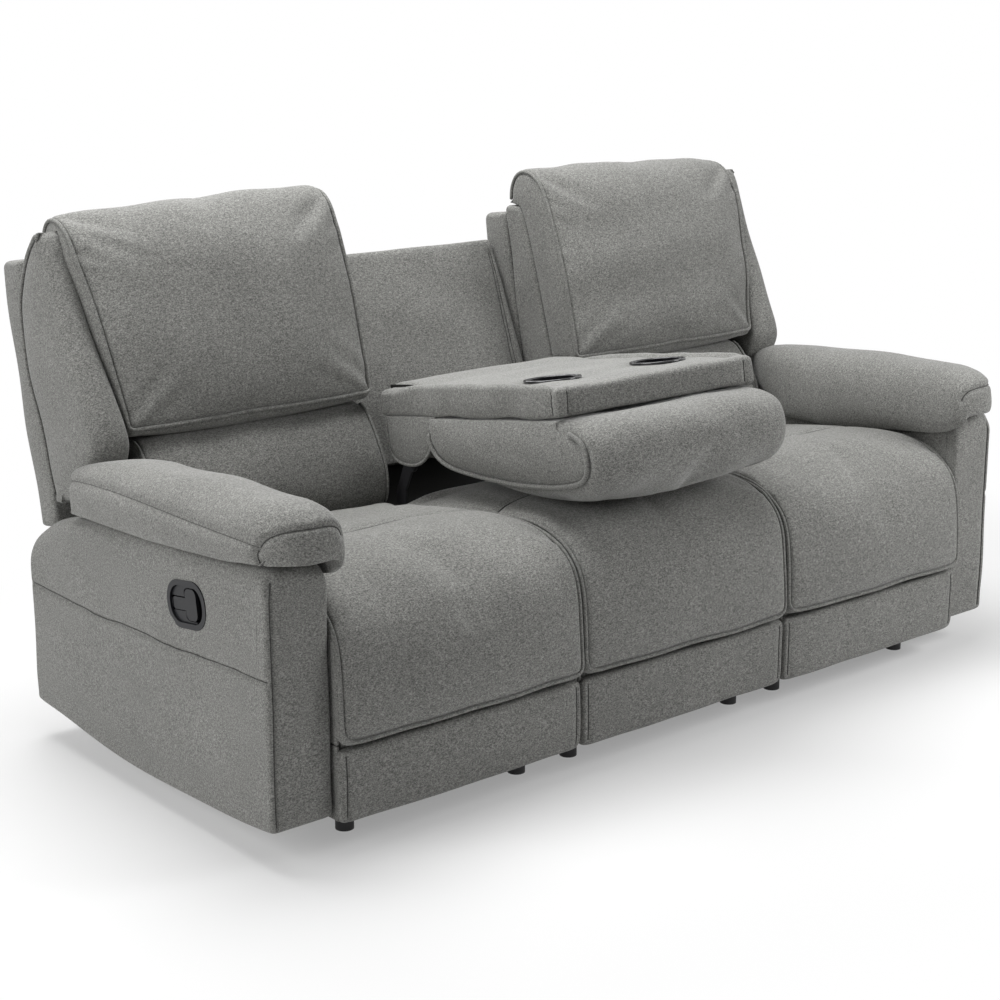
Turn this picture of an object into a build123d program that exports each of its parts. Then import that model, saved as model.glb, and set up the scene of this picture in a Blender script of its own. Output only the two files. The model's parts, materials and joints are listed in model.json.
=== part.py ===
from build123d import *
import os
from math import atan2, cos, degrees, hypot, radians, sin

os.makedirs("parts", exist_ok=True)

# Sizes that drive the sofa, in millimetres. X runs along the sofa, the front faces -Y, Z is up.
seat_pitch = 555.0
arm_width = 128.0
arm_front = -440.0
arm_depth = 836.0
arm_height = 536.0
hem = 70.0
side_gap = 3.0
sheet_gap = 2.0
run_gap = 0.05
open_pivot_gap = 0.5
soft_gap = 1.0
rest_gap = 0.3
pad_lift = 3.15

# Seats
seat_rear = 117.0
seat_rear_top = 417.0
seat_crest = 476.0
seat_crest_y = -278.0
seat_crown = 16.0
nose_radius = 38.0
nose_draw = 8.0
rail_top = 360.0
webbing_thick = 3.0

# Base and feet
base_rail_wide = 30.0
base_rail_high = 40.0
end_rail_offset = 200.0
middle_rail_offset = 223.0
base_front = -385.0
base_rear = 345.0
foot_radius = 17.0
foot_front_y = -357.0
foot_rear_y = 300.0

# Footrest hinge and its parallelogram, as (y, z) points in the side view
plate_thick = 5.0
pin_radius = 5.0
hinge_y = -424.0
hinge_z = 412.0
board_thick = 12.0
board_front = -440.0
crank_y = 44.0
crank_z = -132.0
link_run_y = 150.0
link_run_z = -67.0
link_wide = 20.0
pad_front = -467.0
pad_crown = 17.0
welt_z = 199.0
panel_front = -459.0

# End backs
back_pivot_y = 265.0
back_pivot_z = 320.0
back_pin_radius = 8.0
post_thick = 6.0
slab_rear_low = (402.0, 421.0)
slab_rear_top = (492.6, 923.0)
slab_thick = 64.0
wing_low = (300.0, 475.0)
back_inner = 273.0
wing_over = 90.0
core_low = (212.0, 432.0)
core_top = (375.0, 958.0)
pillow_crown = 24.0
pillow_thick = 102.0
pillow_inset = 10.0
bolster_thick = 31.0
bolster_gap = 4.5
bolster_line = [(310.0, 483.0), (262.0, 548.0), (222.0, 602.0), (208.0, 650.0)]
bolster_line += [(242.0, 770.0), (284.0, 880.0), (318.0, 950.0)]
pillow_low = 622.0
pillow_over = 89.0
lumbar_thick = 88.0

# Console: the middle back, folded down as a table
console_pivot_y = 109.0
console_pivot_z = 495.0
console_half = 262.0
table_rear = (193.0, 645.0)
table_front = (-362.0, 732.0)
table_thick = 60.0
cup_x = 141.0
cup_y = -212.0
cup_bore = 44.0
cup_wall = 2.0
cup_rim = 57.0
cup_depth = 54.0
cup_gap = 0.5

# Levers
lever_y = -195.0
lever_drop = 117.0
lever_tilt = 8.0
lever_long = 126.0
lever_high = 86.0
panel_thick = 18.0

# Values that follow from the sizes
unit_x = {"left": -seat_pitch, "middle": 0.0, "right": seat_pitch}
arm_inner = 1.5 * seat_pitch
arm_outer = arm_inner + arm_width
arm_rear = arm_front + arm_depth
lever_z = arm_height - lever_drop
seat_half = seat_pitch / 2 - side_gap
seat_deck = rail_top + webbing_thick + rest_gap
rail_low = hem
rail_high = hem + base_rail_high
table_run = hypot(table_front[0] - table_rear[0], table_front[1] - table_rear[1])
table_up = (table_front[1] - table_rear[1]) / table_run
table_flat = (table_rear[0] - table_front[0]) / table_run
slab_run = hypot(slab_rear_top[0] - slab_rear_low[0], slab_rear_top[1] - slab_rear_low[1])
slab_lean = (slab_rear_top[0] - slab_rear_low[0]) / slab_run
slab_rise = (slab_rear_top[1] - slab_rear_low[1]) / slab_run
back_outer = arm_inner + wing_over


# Helpers
def side_face(points, x, radius=0.0):
    """A face in the side view (y, z) at one x, with rounded corners."""
    outline = FilletPolyline(*points, radius=radius, close=True)
    return Plane.YZ.offset(x) * make_face(outline)


def side_plate(points, x_low, x_high, radius=0.0):
    """A side-view outline made solid from x_low to x_high."""
    return extrude(side_face(points, x_low, radius), amount=x_high - x_low, dir=(1, 0, 0))


def crowned(low, middle, high, radius):
    """A cushion lofted along X; each station is (x, points) and may carry corner radii of its own."""
    faces = []
    for x, points, *own in (low, middle, high):
        faces.append(side_face(points, x, own[0] if own else radius))
    return loft(faces)


def block(x, y, z):
    """A box between the two ends given for each axis."""
    size = (abs(x[1] - x[0]), abs(y[1] - y[0]), abs(z[1] - z[0]))
    centre = ((x[0] + x[1]) / 2, (y[0] + y[1]) / 2, (z[0] + z[1]) / 2)
    return Pos(*centre) * Box(*size)


def rod_x(y, z, x_low, x_high, radius):
    """A round rod along X."""
    return Pos((x_low + x_high) / 2, y, z) * Rot(0, 90, 0) * Cylinder(radius, abs(x_high - x_low))


def strap(a, b, wide, x_low, x_high):
    """A flat link with round ends from point a to point b in the side view."""
    length = hypot(b[0] - a[0], b[1] - a[1])
    turn = degrees(atan2(b[1] - a[1], b[0] - a[0]))
    outline = Pos((a[0] + b[0]) / 2, (a[1] + b[1]) / 2) * Rot(0, 0, turn) * SlotCenterToCenter(length, wide)
    return extrude(Plane.YZ.offset(x_low) * outline, amount=x_high - x_low, dir=(1, 0, 0))


def on_line(a, b, z):
    """The y where the side-view line through a and b is at height z."""
    return a[0] + (b[0] - a[0]) * (z - a[1]) / (b[1] - a[1])


def table_point(along, down):
    """A side-view point on the console: along the table from its rear edge, and down below its top."""
    y = table_rear[0] - along * table_flat - down * table_up
    z = table_rear[1] + along * table_up - down * table_flat
    return (y, z)


def slab_point(up, forward):
    """A side-view point on an end back: up its rear face, and forward of it."""
    y = slab_rear_low[0] + up * slab_lean - forward * slab_rise
    z = slab_rear_low[1] + up * slab_rise + forward * slab_lean
    return (y, z)


def save(name, solids):
    """Writes one node; a list becomes a group of separate solids."""
    if isinstance(solids, list):
        solids = Compound(children=solids)
    export_step(solids, f"parts/{name}.step")


def both(name, solids):
    """Writes the left node and its mirror image on the right."""
    solids = solids if isinstance(solids, list) else [solids]
    save(f"left_{name}", solids)
    save(f"right_{name}", [mirror(solid, about=Plane.YZ) for solid in solids])


# Points that several pieces share
crank_pin = (hinge_y + crank_y, hinge_z + crank_z)
link_pin = (hinge_y + link_run_y, hinge_z + link_run_z)
tie_pin = (link_pin[0] + crank_y, link_pin[1] + crank_z)
fixed_low = end_rail_offset
fixed_high = fixed_low + plate_thick
swing_high = fixed_low - sheet_gap
swing_low = swing_high - plate_thick
tie_high = swing_low - sheet_gap
tie_low = tie_high - plate_thick


# Base rails, cross tubes and feet
def base_parts():
    rails, tubes, feet = [], [], []
    half = base_rail_wide / 2
    for name, centre in unit_x.items():
        offset = middle_rail_offset if name == "middle" else end_rail_offset
        inner = offset - half
        for side in (-1, 1):
            x = centre + side * offset
            rails.append(block((x - half, x + half), (base_front, base_rear), (rail_low, rail_high)))
            for y in (foot_front_y, foot_rear_y):
                pad = Pos(x, y, hem * 0.3) * Cylinder(foot_radius, hem * 0.6)
                stem = Pos(x, y, hem * 0.8) * Cylinder(foot_radius * 0.6, hem * 0.4)
                feet.append(pad + stem)
        for y in (foot_front_y, foot_rear_y):
            ends = (centre - inner, centre + inner)
            tubes.append(block(ends, (y - half, y + half), (rail_low + 5, rail_high - 5)))
    save("base_side_rails", rails)
    save("base_cross_tubes", tubes)
    save("feet", feet)


# Arms: two upholstered sides, a front panel, a wooden frame and the padded top
arm_line = [(arm_front, arm_height), (arm_rear - 225, arm_height - 39)]
arm_line += [(arm_rear - 101, arm_height - 71), (arm_rear - 6, arm_height - 145)]


def arm_outline(inset):
    bottom = hem + inset
    front = arm_front + inset
    rear = arm_rear - inset
    points = [(front, bottom), (rear, bottom), (rear, arm_line[3][1] - 20)]
    points += [(y - inset * 0.4, z - inset) for y, z in reversed(arm_line[1:])]
    points.append((front, arm_height - inset))
    return points


arm_radii = [10, 10, 12, 20, 60, 60, 30]


def arms():
    lever_hole = RectangleRounded(lever_long - 11, lever_high - 11, lever_high * 0.4)
    outer = side_plate(arm_outline(0), -arm_outer, -arm_outer + panel_thick, arm_radii)
    outer -= extrude(lever_plane() * lever_hole, amount=2 * panel_thick, both=True)
    both("arm_outer_panel", outer)
    inner_low = -arm_inner - panel_thick
    both("arm_inner_panel", side_plate(arm_outline(0), inner_low, -arm_inner, arm_radii))
    x = (-arm_outer + panel_thick, inner_low)
    front_top = arm_height - 32
    both("arm_front_panel", block(x, (arm_front, arm_front + panel_thick), (hem, front_top)))
    behind = arm_front + panel_thick
    rear_post = (arm_rear - 48, arm_rear - 24)
    foot_rail = (hem + 10, hem + 45)
    shell = side_plate(arm_outline(14), x[0], x[1])
    shell -= side_plate(arm_outline(38), x[0], x[1])
    top_board = shell & block(x, (behind, rear_post[0]), (arm_line[3][1] - 60, arm_height + 10))
    low_rail = block(x, (behind, rear_post[1]), foot_rail)
    post = block(x, rear_post, (foot_rail[1], arm_line[3][1] - 40))
    front_post = block(x, (behind, behind + 24), (foot_rail[1], arm_height - 62))
    both("arm_frame", [top_board, low_rail, post, front_post])
    both("arm_pad", arm_pad())


def arm_roof(y):
    """Height of the arm's top edge at depth y."""
    a, b = arm_line[0], arm_line[1]
    return a[1] + (b[1] - a[1]) * (y - a[0]) / (b[0] - a[0])


def arm_pad():
    """A long pillow: rounded sections along Y, pointed at the rear and turned under at the front."""
    centre = -arm_inner - arm_width * 0.435
    wide = arm_width + 37
    stations = [(-40.0, 0.72, 18.0, 66.0), (2.0, 0.97, pad_lift, 97.0), (140.0, 1.0, pad_lift, 108.0)]
    stations += [(365.0, 1.0, pad_lift, 133.0), (540.0, 0.86, pad_lift, 112.0), (636.0, 0.45, 10.0, 32.0)]
    sections = []
    for depth, share, low, high in stations:
        y = arm_front + depth
        roof = arm_roof(max(y, arm_front))
        tall = high - low
        face = RectangleRounded(wide * share, tall, min(tall * 0.46, wide * share * 0.46))
        plane = Plane(origin=(centre, y, roof + (low + high) / 2), x_dir=(1, 0, 0), z_dir=(0, 1, 0))
        sections.append(plane * face)
    return loft(sections)


# Levers
def lever_plane():
    turn = radians(lever_tilt)
    return Plane(origin=(-arm_outer, lever_y, lever_z), x_dir=(0, -cos(turn), sin(turn)), z_dir=(-1, 0, 0))


lever_pin_x = -40.0
lever_pin_z = -9.0
lever_pin_radius = 2.5


def levers():
    plane = lever_plane()
    flange = extrude(RectangleRounded(lever_long, lever_high, lever_high * 0.46), amount=3)
    cup = extrude(RectangleRounded(lever_long - 12, lever_high - 12, lever_high * 0.4), amount=-32)
    hollow = RectangleRounded(lever_long - 20, lever_high - 20, lever_high * 0.35)
    bezel = flange + cup - Pos(0, 0, -29) * extrude(hollow, amount=40)
    pin = Pos(lever_pin_x, 0, lever_pin_z) * Rot(90, 0, 0) * Cylinder(lever_pin_radius, lever_high - 26)
    bezel += pin
    left = plane * bezel
    save("lever_bezels", [left, mirror(left, about=Plane.YZ)])
    stem = Pos(-21, 0) * RectangleRounded(50, 22, 5)
    head = Pos(12, 0) * RectangleRounded(36, lever_high - 30, 12)
    plate = Pos(0, 0, -6) * extrude(stem + head, amount=6)
    hub = Pos(lever_pin_x, 0, lever_pin_z) * Rot(90, 0, 0) * Cylinder(6, 22)
    paddle = plate + hub
    bore = Cylinder(lever_pin_radius + run_gap, lever_high)
    paddle -= Pos(lever_pin_x, 0, lever_pin_z) * Rot(90, 0, 0) * bore
    both("lever_paddle", plane * paddle)


# Seat frames with their webbing
def seat_frames():
    webbing = []
    for name, centre in unit_x.items():
        full = (centre - seat_pitch / 2, centre + seat_pitch / 2)
        front_rail = block(full, (base_front - 20, base_front), (rail_top - 35, rail_top))
        rear_rail = block(full, (seat_rear - 32, seat_rear - 7), (rail_top - 60, rail_top))
        rails = [front_rail, rear_rail]
        between = (base_front, seat_rear - 32)
        inner = end_rail_offset + plate_thick
        for side in (-1, 1):
            ends = (centre + side * inner, centre + side * (inner + 45))
            rails.append(block(ends, between, (rail_top - 60, rail_top)))
        if name == "middle":
            rails += middle_posts()
        save(f"{name}_seat_frame", rails)
        for step in range(-2, 3):
            x = centre + step * 76
            along = (base_front - 18, seat_rear - 9)
            strap_box = block((x - 25, x + 25), along, (rail_top, rail_top + webbing_thick))
            webbing.append(strap_box)
    save("seat_webbing", webbing)


def middle_posts():
    """Legs of the middle seat frame and the board behind its front panels."""
    back = board_front + board_thick
    solids = []
    for side in (-1, 1):
        x = (side * (middle_rail_offset - 15), side * (middle_rail_offset + 15))
        solids.append(block(x, (back, base_front), (rail_high, rail_top - 35)))
        solids.append(block(x, (seat_rear - 62, seat_rear - 32), (rail_high, rail_top - 60)))
    half = seat_half - 12
    solids.append(block((-half, half), (board_front, back), (hem + 10, rail_top - 5)))
    return solids


# Seat cushions: a crowned top that ends in a round nose about the footrest hinge
def seat_outline(crown, nose):
    top = hinge_z + nose
    front = hinge_y - nose
    low = hinge_z - nose
    points = [(seat_rear, seat_deck), (seat_rear, seat_rear_top + crown)]
    points.append((seat_rear - 214, seat_rear_top + 37 + crown))
    points.append((seat_crest_y, seat_crest + crown))
    points.append((hinge_y + 18, top))
    points += [(front, top), (front, low), (hinge_y + 26, low), (hinge_y + 26, seat_deck)]
    return points


def seat_radii(nose):
    return [4, 14, 90, 70, 20, nose - 0.5, nose - 0.5, 0, 0]


def seat_cushions():
    small = nose_radius - nose_draw
    edge = seat_outline(0.0, small)
    middle = seat_outline(seat_crown, nose_radius)
    for name, centre in unit_x.items():
        low = (centre - seat_half, edge)
        high = (centre + seat_half, edge)
        cushion = crowned(low, (centre, middle, seat_radii(nose_radius)), high, seat_radii(small))
        if name != "middle":
            for side in (-1, 1):
                slot = (centre + side * (tie_low - 4), centre + side * (fixed_high + 4))
                cushion -= block(slot, (hinge_y - 60, hinge_y + 28), (seat_deck - 10, hinge_z + 14))
        save(f"{name}_seat_cushion", cushion)


# Front pads below the nose, and the lower front panels
def pad_outline(crown):
    back = board_front - 0.5
    low = welt_z + 2
    front = pad_front - crown
    points = [(back, low), (front + 10, low), (front - 6, low + 90)]
    points += [(front + 6, hinge_z - 14), (back, hinge_z - 14)]
    return points


def front_pad(centre):
    edge = pad_outline(0.0)
    middle = pad_outline(pad_crown)
    radii = [0, 12, 80, 3, 0]
    pad = crowned((centre - seat_half, edge), (centre, middle), (centre + seat_half, edge), radii)
    reach = seat_half + 5
    return pad - rod_x(hinge_y, hinge_z, centre - reach, centre + reach, nose_radius + 1.5)


def front_panel(centre):
    back = board_front - 0.5
    points = [(back, hem), (panel_front, hem), (panel_front, welt_z), (back, welt_z)]
    bulge = [(back, hem), (panel_front - 8, hem), (panel_front - 8, welt_z), (back, welt_z)]
    radii = [0, 12, 5, 0]
    ends = (centre - seat_half, points), (centre + seat_half, points)
    return crowned(ends[0], (centre, bulge), ends[1], radii)


# Footrest mechanism of one end seat
def footrest(name, centre):
    back = board_front + board_thick
    half = seat_half - 12
    board = block((centre - half, centre + half), (board_front, back), (hem + 10, rail_top - 5))
    save(f"{name}_footrest_board", board)
    save(f"{name}_footrest_pad", front_pad(centre))
    save(f"{name}_footrest_panel", front_panel(centre))
    arms_pair = []
    links = []
    ties = []
    for side in (-1, 1):
        swing = sorted((centre + side * swing_low, centre + side * swing_high))
        tie = sorted((centre + side * tie_low, centre + side * tie_high))
        pin_ends = sorted((centre + side * (tie_low - 3), centre + side * swing_high))
        arms_pair.append(swing_arm(swing, pin_ends))
        links.append(support_link(swing, pin_ends))
        ties.append(tie_bar(tie))
    tube_at = ((link_pin[0] + tie_pin[0]) / 2, (link_pin[1] + tie_pin[1]) / 2)
    tube = rod_x(tube_at[0], tube_at[1], centre - swing_low, centre + swing_low, link_wide * 0.45)
    save(f"{name}_footrest_arms", arms_pair)
    save(f"{name}_support_links", links[0] + tube + links[1])
    save(f"{name}_tie_bars", ties)


def swing_arm(swing, pin_ends):
    """Plate from the hinge down behind the board, with a toe back to the tie bar's pin."""
    back = board_front + board_thick
    toe = [(back, rail_top - 15), (back, crank_pin[1] - 20), (crank_pin[0], crank_pin[1] - 10)]
    toe += [(crank_pin[0], crank_pin[1] + 10), (back + 16, rail_top - 40), (back + 16, hinge_z)]
    toe += [(hinge_y - 6, hinge_z), (back, hinge_z - 20)]
    plate = side_plate(toe, swing[0], swing[1])
    plate += rod_x(hinge_y, hinge_z, swing[0], swing[1], pin_radius * 2)
    plate += rod_x(crank_pin[0], crank_pin[1], swing[0], swing[1], link_wide / 2)
    plate -= rod_x(hinge_y, hinge_z, swing[0] - 9, swing[1] + 9, pin_radius + run_gap)
    return plate + rod_x(crank_pin[0], crank_pin[1], pin_ends[0], pin_ends[1], pin_radius)


def support_link(swing, pin_ends):
    link = strap(link_pin, tie_pin, link_wide, swing[0], swing[1])
    link -= rod_x(link_pin[0], link_pin[1], swing[0] - 9, swing[1] + 9, pin_radius + run_gap)
    return link + rod_x(tie_pin[0], tie_pin[1], pin_ends[0], pin_ends[1], pin_radius)


def tie_bar(tie):
    bar = strap(tie_pin, crank_pin, link_wide, tie[0], tie[1])
    bar -= rod_x(tie_pin[0], tie_pin[1], tie[0] - 9, tie[1] + 9, pin_radius + run_gap)
    return bar - rod_x(crank_pin[0], crank_pin[1], tie[0] - 9, tie[1] + 9, pin_radius + open_pivot_gap)


# Steel side plates under the end seats: they stand on the base rails and hold both footrest pivots
def mechanism():
    plates, brackets, posts = [], [], []
    side = [(-330.0, rail_high), (60.0, rail_high), (60.0, rail_top - 20), (link_pin[0] + 30, rail_top - 3)]
    side += [(link_pin[0] - 14, rail_top - 3), (link_pin[0] - 14, 300.0)]
    stand = [(235.0, rail_high), (295.0, rail_high), (back_pivot_y + 24, back_pivot_z)]
    stand.append((back_pivot_y - 24, back_pivot_z))
    root = base_front - 20
    arm = [(root, rail_top - 32), (root, hinge_z), (hinge_y + 9, hinge_z), (hinge_y - 9, hinge_z)]
    arm += [(hinge_y, hinge_z - 30), (hinge_y + 4, rail_top - 32)]
    for name in ("left", "right"):
        centre = unit_x[name]
        for sign in (-1, 1):
            fixed = sorted((centre + sign * fixed_low, centre + sign * fixed_high))
            pin = sorted((centre + sign * (swing_low - 3), centre + sign * fixed_high))
            post = sorted((centre + sign * fixed_low, centre + sign * (fixed_low + post_thick)))
            reach = fixed_low + 2 * post_thick + sheet_gap + 3
            back_pin = sorted((centre + sign * fixed_low, centre + sign * reach))
            plate = side_plate(side, fixed[0], fixed[1])
            plates.append(plate + rod_x(link_pin[0], link_pin[1], pin[0], pin[1], pin_radius))
            bracket = side_plate(arm, fixed[0], fixed[1])
            bracket += rod_x(hinge_y, hinge_z, fixed[0], fixed[1], pin_radius * 1.8)
            brackets.append(bracket + rod_x(hinge_y, hinge_z, pin[0], pin[1], pin_radius))
            upright = side_plate(stand, post[0], post[1])
            upright += rod_x(back_pivot_y, back_pivot_z, post[0], post[1], 24)
            pin = rod_x(back_pivot_y, back_pivot_z, back_pin[0], back_pin[1], back_pin_radius)
            posts.append(upright + pin)
    save("mechanism_plates", plates)
    save("footrest_hinge_brackets", brackets)
    save("back_hinge_posts", posts)


# End backs: frame slab, side body with its wing, pillow, lumbar and hinge plates
slab_up = slab_run
plate_low = fixed_low + post_thick + sheet_gap
plate_high = plate_low + post_thick


def slab_front(z):
    """The y of the slab's front face at height z."""
    return on_line(slab_point(0, slab_thick), slab_point(slab_up, slab_thick), z)


def end_back(name, sign):
    centre = sign * seat_pitch
    span = sorted((sign * back_inner, sign * back_outer))
    front_low = (slab_front(wing_low[1] - 20), wing_low[1] - 20)
    slab = [slab_rear_low, slab_rear_top, slab_point(slab_up, slab_thick), front_low]
    save(f"{name}_back_frame", side_plate(slab, span[0], span[1], [4, 22, 12, 4]))
    save(f"{name}_back_body", back_body(centre, sign))
    save(f"{name}_back_pillow", back_pillow(sign))
    save(f"{name}_back_lumbar", back_lumbar(sign))
    plates = []
    grip_low = (slab_front(wing_low[1] + 8), wing_low[1] + 8)
    grip_top = (slab_front(wing_low[1] + 125), wing_low[1] + 125)
    outline = [(back_pivot_y - 24, back_pivot_z), (grip_low[0] - 62, grip_low[1] + 20)]
    outline += [(grip_top[0] - 50, grip_top[1]), grip_top, grip_low, (back_pivot_y + 24, back_pivot_z)]
    for side in (-1, 1):
        x = sorted((centre + side * plate_low, centre + side * plate_high))
        plate = side_plate(outline, x[0], x[1])
        plate += rod_x(back_pivot_y, back_pivot_z, x[0], x[1], 24)
        plate -= rod_x(back_pivot_y, back_pivot_z, x[0] - 9, x[1] + 9, back_pin_radius + run_gap)
        plates.append(plate)
    save(f"{name}_back_hinge_plates", plates)


def core_y(z):
    return on_line(core_low, core_top, z)


def back_body(centre, sign):
    """Padded core between the frame and the pillow, with the wing that passes over the arm."""
    gap = soft_gap / 2
    inside = arm_inner - 4
    low, top = core_low[1], core_top[1]
    step = wing_low[1] + 8
    main = [(core_y(low), low), core_top, (slab_front(top) - gap, top), (slab_front(step) - gap, step)]
    main.append((core_y(low) + 45, low))
    body = side_plate(main, *sorted((sign * (back_inner + 4), sign * inside)), [8, 6, 2, 2, 8])
    wing = [(wing_low[0], step), (core_top[0], top)]
    wing += [(slab_front(top) - gap, top), (slab_front(step) - gap, step)]
    outside = sign * (back_outer - 3)
    body += side_plate(wing, *sorted((sign * inside, outside)), [3, 6, 2, 2])
    roll = bolster_line + wing[1:]
    roll_radii = [2, 20, 30, 40, 60, 60, 8, 6, 2, 2]
    body += side_plate(roll, *sorted((outside - sign * bolster_thick, outside)), roll_radii)
    for side in (-1, 1):
        slot = (centre + side * (plate_low - 3), centre + side * (plate_high + 3))
        body -= block(slot, (0, slab_front(top)), (0, wing_low[1] + 132))
    return body


def pillow_outline(crown, draw):
    low = pillow_low + draw
    high = core_top[1] + pillow_over - draw
    tall = high - low
    top = core_top[1] + soft_gap
    heights = (low, low + 0.32 * tall, low + 0.65 * tall, high - 31)
    depths = (0.85, 1.0, 1.02, 0.96)
    swell = (0.5, 1.0, 1.0, 0.5)
    points = []
    for z, depth, share in zip(heights, depths, swell):
        points.append((core_y(z) - pillow_thick * depth + draw - crown * share, z))
    rear = core_top[0] + 31 - draw
    points += [(rear - 22 + draw, high), (rear, high - 27), (rear, top + 6)]
    points += [(core_y(top) + 22, top), (core_y(top) - soft_gap, top), (core_y(low) - soft_gap, low)]
    return points


def back_pillow(sign):
    """Head pillow, full in the middle and drawn in at both ends; its outer end leans in at the bottom."""
    end = back_outer - 3 - bolster_thick - bolster_gap
    inner = sign * (back_inner + pillow_inset)
    outer = sign * end
    radii = [24, 120, 120, 40, 16, 12, 3, 2, 0, 4]
    edge = pillow_outline(0.0, 6.0)
    middle = pillow_outline(pillow_crown, 0.0)
    stations = sorted([(inner, edge), ((inner + outer) / 2, middle), (outer, edge)], key=lambda s: s[0])
    pillow = crowned(*stations, radii)
    low, high = pillow_low - 22, core_top[1] + 2
    lean = [(arm_inner + 3, low), (back_outer + 40, low), (back_outer + 40, high), (end + 1, high)]
    cut = make_face(Polyline(*[(sign * x, z) for x, z in lean], close=True))
    return pillow - extrude(Plane.XZ * cut, amount=700, both=True)


def back_lumbar(sign):
    low, top = core_low[1] + 4, pillow_low - 8
    inner = sign * (back_inner + 8)
    outer = sign * (arm_inner - 6)
    radii = [14, 60, 60, 16, 0, 0]

    def outline(crown):
        points = []
        for share, depth, swell in ((0.0, 1.0, 0.4), (0.36, 1.06, 1.0), (0.68, 0.92, 1.0), (1.0, 0.66, 0.4)):
            z = low + share * (top - low)
            points.append((core_y(z) - lumbar_thick * depth - crown * swell, z))
        points += [(core_y(top) - soft_gap, top), (core_y(low) - soft_gap, low)]
        return points

    stations = [(inner, outline(0.0)), ((inner + outer) / 2, outline(10.0)), (outer, outline(0.0))]
    return crowned(*sorted(stations, key=lambda s: s[0]), radii)


# Console
def console():
    half = console_half
    mid = table_thick * 0.5
    table = [table_point(0, 0), table_point(table_run, 0), table_point(table_run, mid), table_point(0, mid)]
    board = [table_point(6, mid), table_point(table_run - 6, mid)]
    board += [table_point(table_run - 6, table_thick), table_point(6, table_thick)]
    top = side_plate(table, -half, half, [8, 10, 3, 3])
    core = side_plate(board, -half + 8, half - 8, 2)
    cups = []
    along = (table_rear[0] - cup_y) / table_flat
    for side in (-1, 1):
        at = table_point(along, 0)
        plane = Plane(origin=(side * cup_x, at[0], at[1]), x_dir=(1, 0, 0), z_dir=(0, table_up, table_flat))
        hole = plane * Pos(0, 0, -table_thick) * Cylinder(cup_bore + cup_wall + cup_gap, 4 * table_thick)
        top -= hole
        core -= hole
        cups.append(plane * cup())
    save("console_table", top)
    save("console_board", core)
    save("cup_holders", cups)
    save("console_pillow", console_pillow())
    save("console_lumbar", console_lumbar())
    console_hinges()


def cup():
    wall = cup_bore + cup_wall
    deep = cup_depth + cup_wall
    body = Pos(0, 0, -deep / 2) * Cylinder(wall, deep)
    rim = Pos(0, 0, 1.5) * Cylinder(cup_rim, 3)
    rim = fillet(rim.edges().group_by(Axis.Z)[-1], 1.5)
    return body + rim - Pos(0, 0, (10 - cup_depth) / 2) * Cylinder(cup_bore, cup_depth + 10)


def console_pillow():
    def outline(crown):
        gap = table_thick + soft_gap
        points = [table_point(205, gap), table_point(table_run - 2, gap)]
        points += [(-452.0 - crown * 0.3, 664.0), (-478.0 - crown * 0.6, 604.0)]
        points.append((-455.0, 536.0 - crown * 0.5))
        points += [(-290.0, 515.0 - crown), (-70.0, 524.0 - crown), (-14.0, 560.0)]
        return points

    radii = [6, 40, 30, 34, 40, 90, 40, 20]
    width = console_half + 4
    return crowned((-width, outline(0.0)), (0.0, outline(18.0)), (width, outline(0.0)), radii)


def console_lumbar():
    half = console_half - 32

    def outline(crown):
        gap = table_thick + soft_gap
        points = [table_point(48, gap), table_point(198, gap), (-8.0, 545.0), (18.0, 512.0 - crown)]
        points += [(118.0, 506.0 - crown * 0.6), (142.0, 545.0)]
        return points

    radii = [4, 10, 20, 24, 24, 16]
    return crowned((-half, outline(0.0)), (0.0, outline(6.0)), (half, outline(0.0)), radii)


def console_hinges():
    arm_low = console_half - 25
    arm_high = arm_low + plate_thick
    fixed = arm_high + sheet_gap
    hub = 16.0
    grip = [table_point(30, table_thick), table_point(130, table_thick)]
    swing = [(console_pivot_y + hub, console_pivot_z), grip[0], grip[1]]
    swing.append((console_pivot_y - hub, console_pivot_z))
    root = seat_rear - 7
    stand = [(root, rail_top - 55), (root, rail_top + 2), (seat_rear + 4, seat_deck)]
    stand.append((seat_rear + 4, seat_rear_top + 23))
    stand += [(console_pivot_y - hub, console_pivot_z), (console_pivot_y + hub, console_pivot_z)]
    stand += [(seat_rear + 35, seat_rear_top + 13), (seat_rear + 35, rail_top - 55)]
    moving, brackets = [], []
    for side in (-1, 1):
        x = sorted((side * arm_low, side * arm_high))
        plate = side_plate(swing, x[0], x[1])
        plate += rod_x(console_pivot_y, console_pivot_z, x[0], x[1], hub)
        plate -= rod_x(console_pivot_y, console_pivot_z, x[0] - 9, x[1] + 9, pin_radius + run_gap)
        moving.append(plate)
        x = sorted((side * fixed, side * (fixed + plate_thick)))
        bracket = side_plate(stand, x[0], x[1])
        bracket += rod_x(console_pivot_y, console_pivot_z, x[0], x[1], hub)
        pin = sorted((side * (arm_low - 3), side * (fixed + plate_thick)))
        brackets.append(bracket + rod_x(console_pivot_y, console_pivot_z, pin[0], pin[1], pin_radius))
    save("console_hinge_arms", moving)
    save("console_hinge_brackets", brackets)


# Fixed rear of the middle seat, and the valance behind the seats
rear_low = (270.0, 450.0)
rear_top = (465.0, 880.0)


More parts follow.
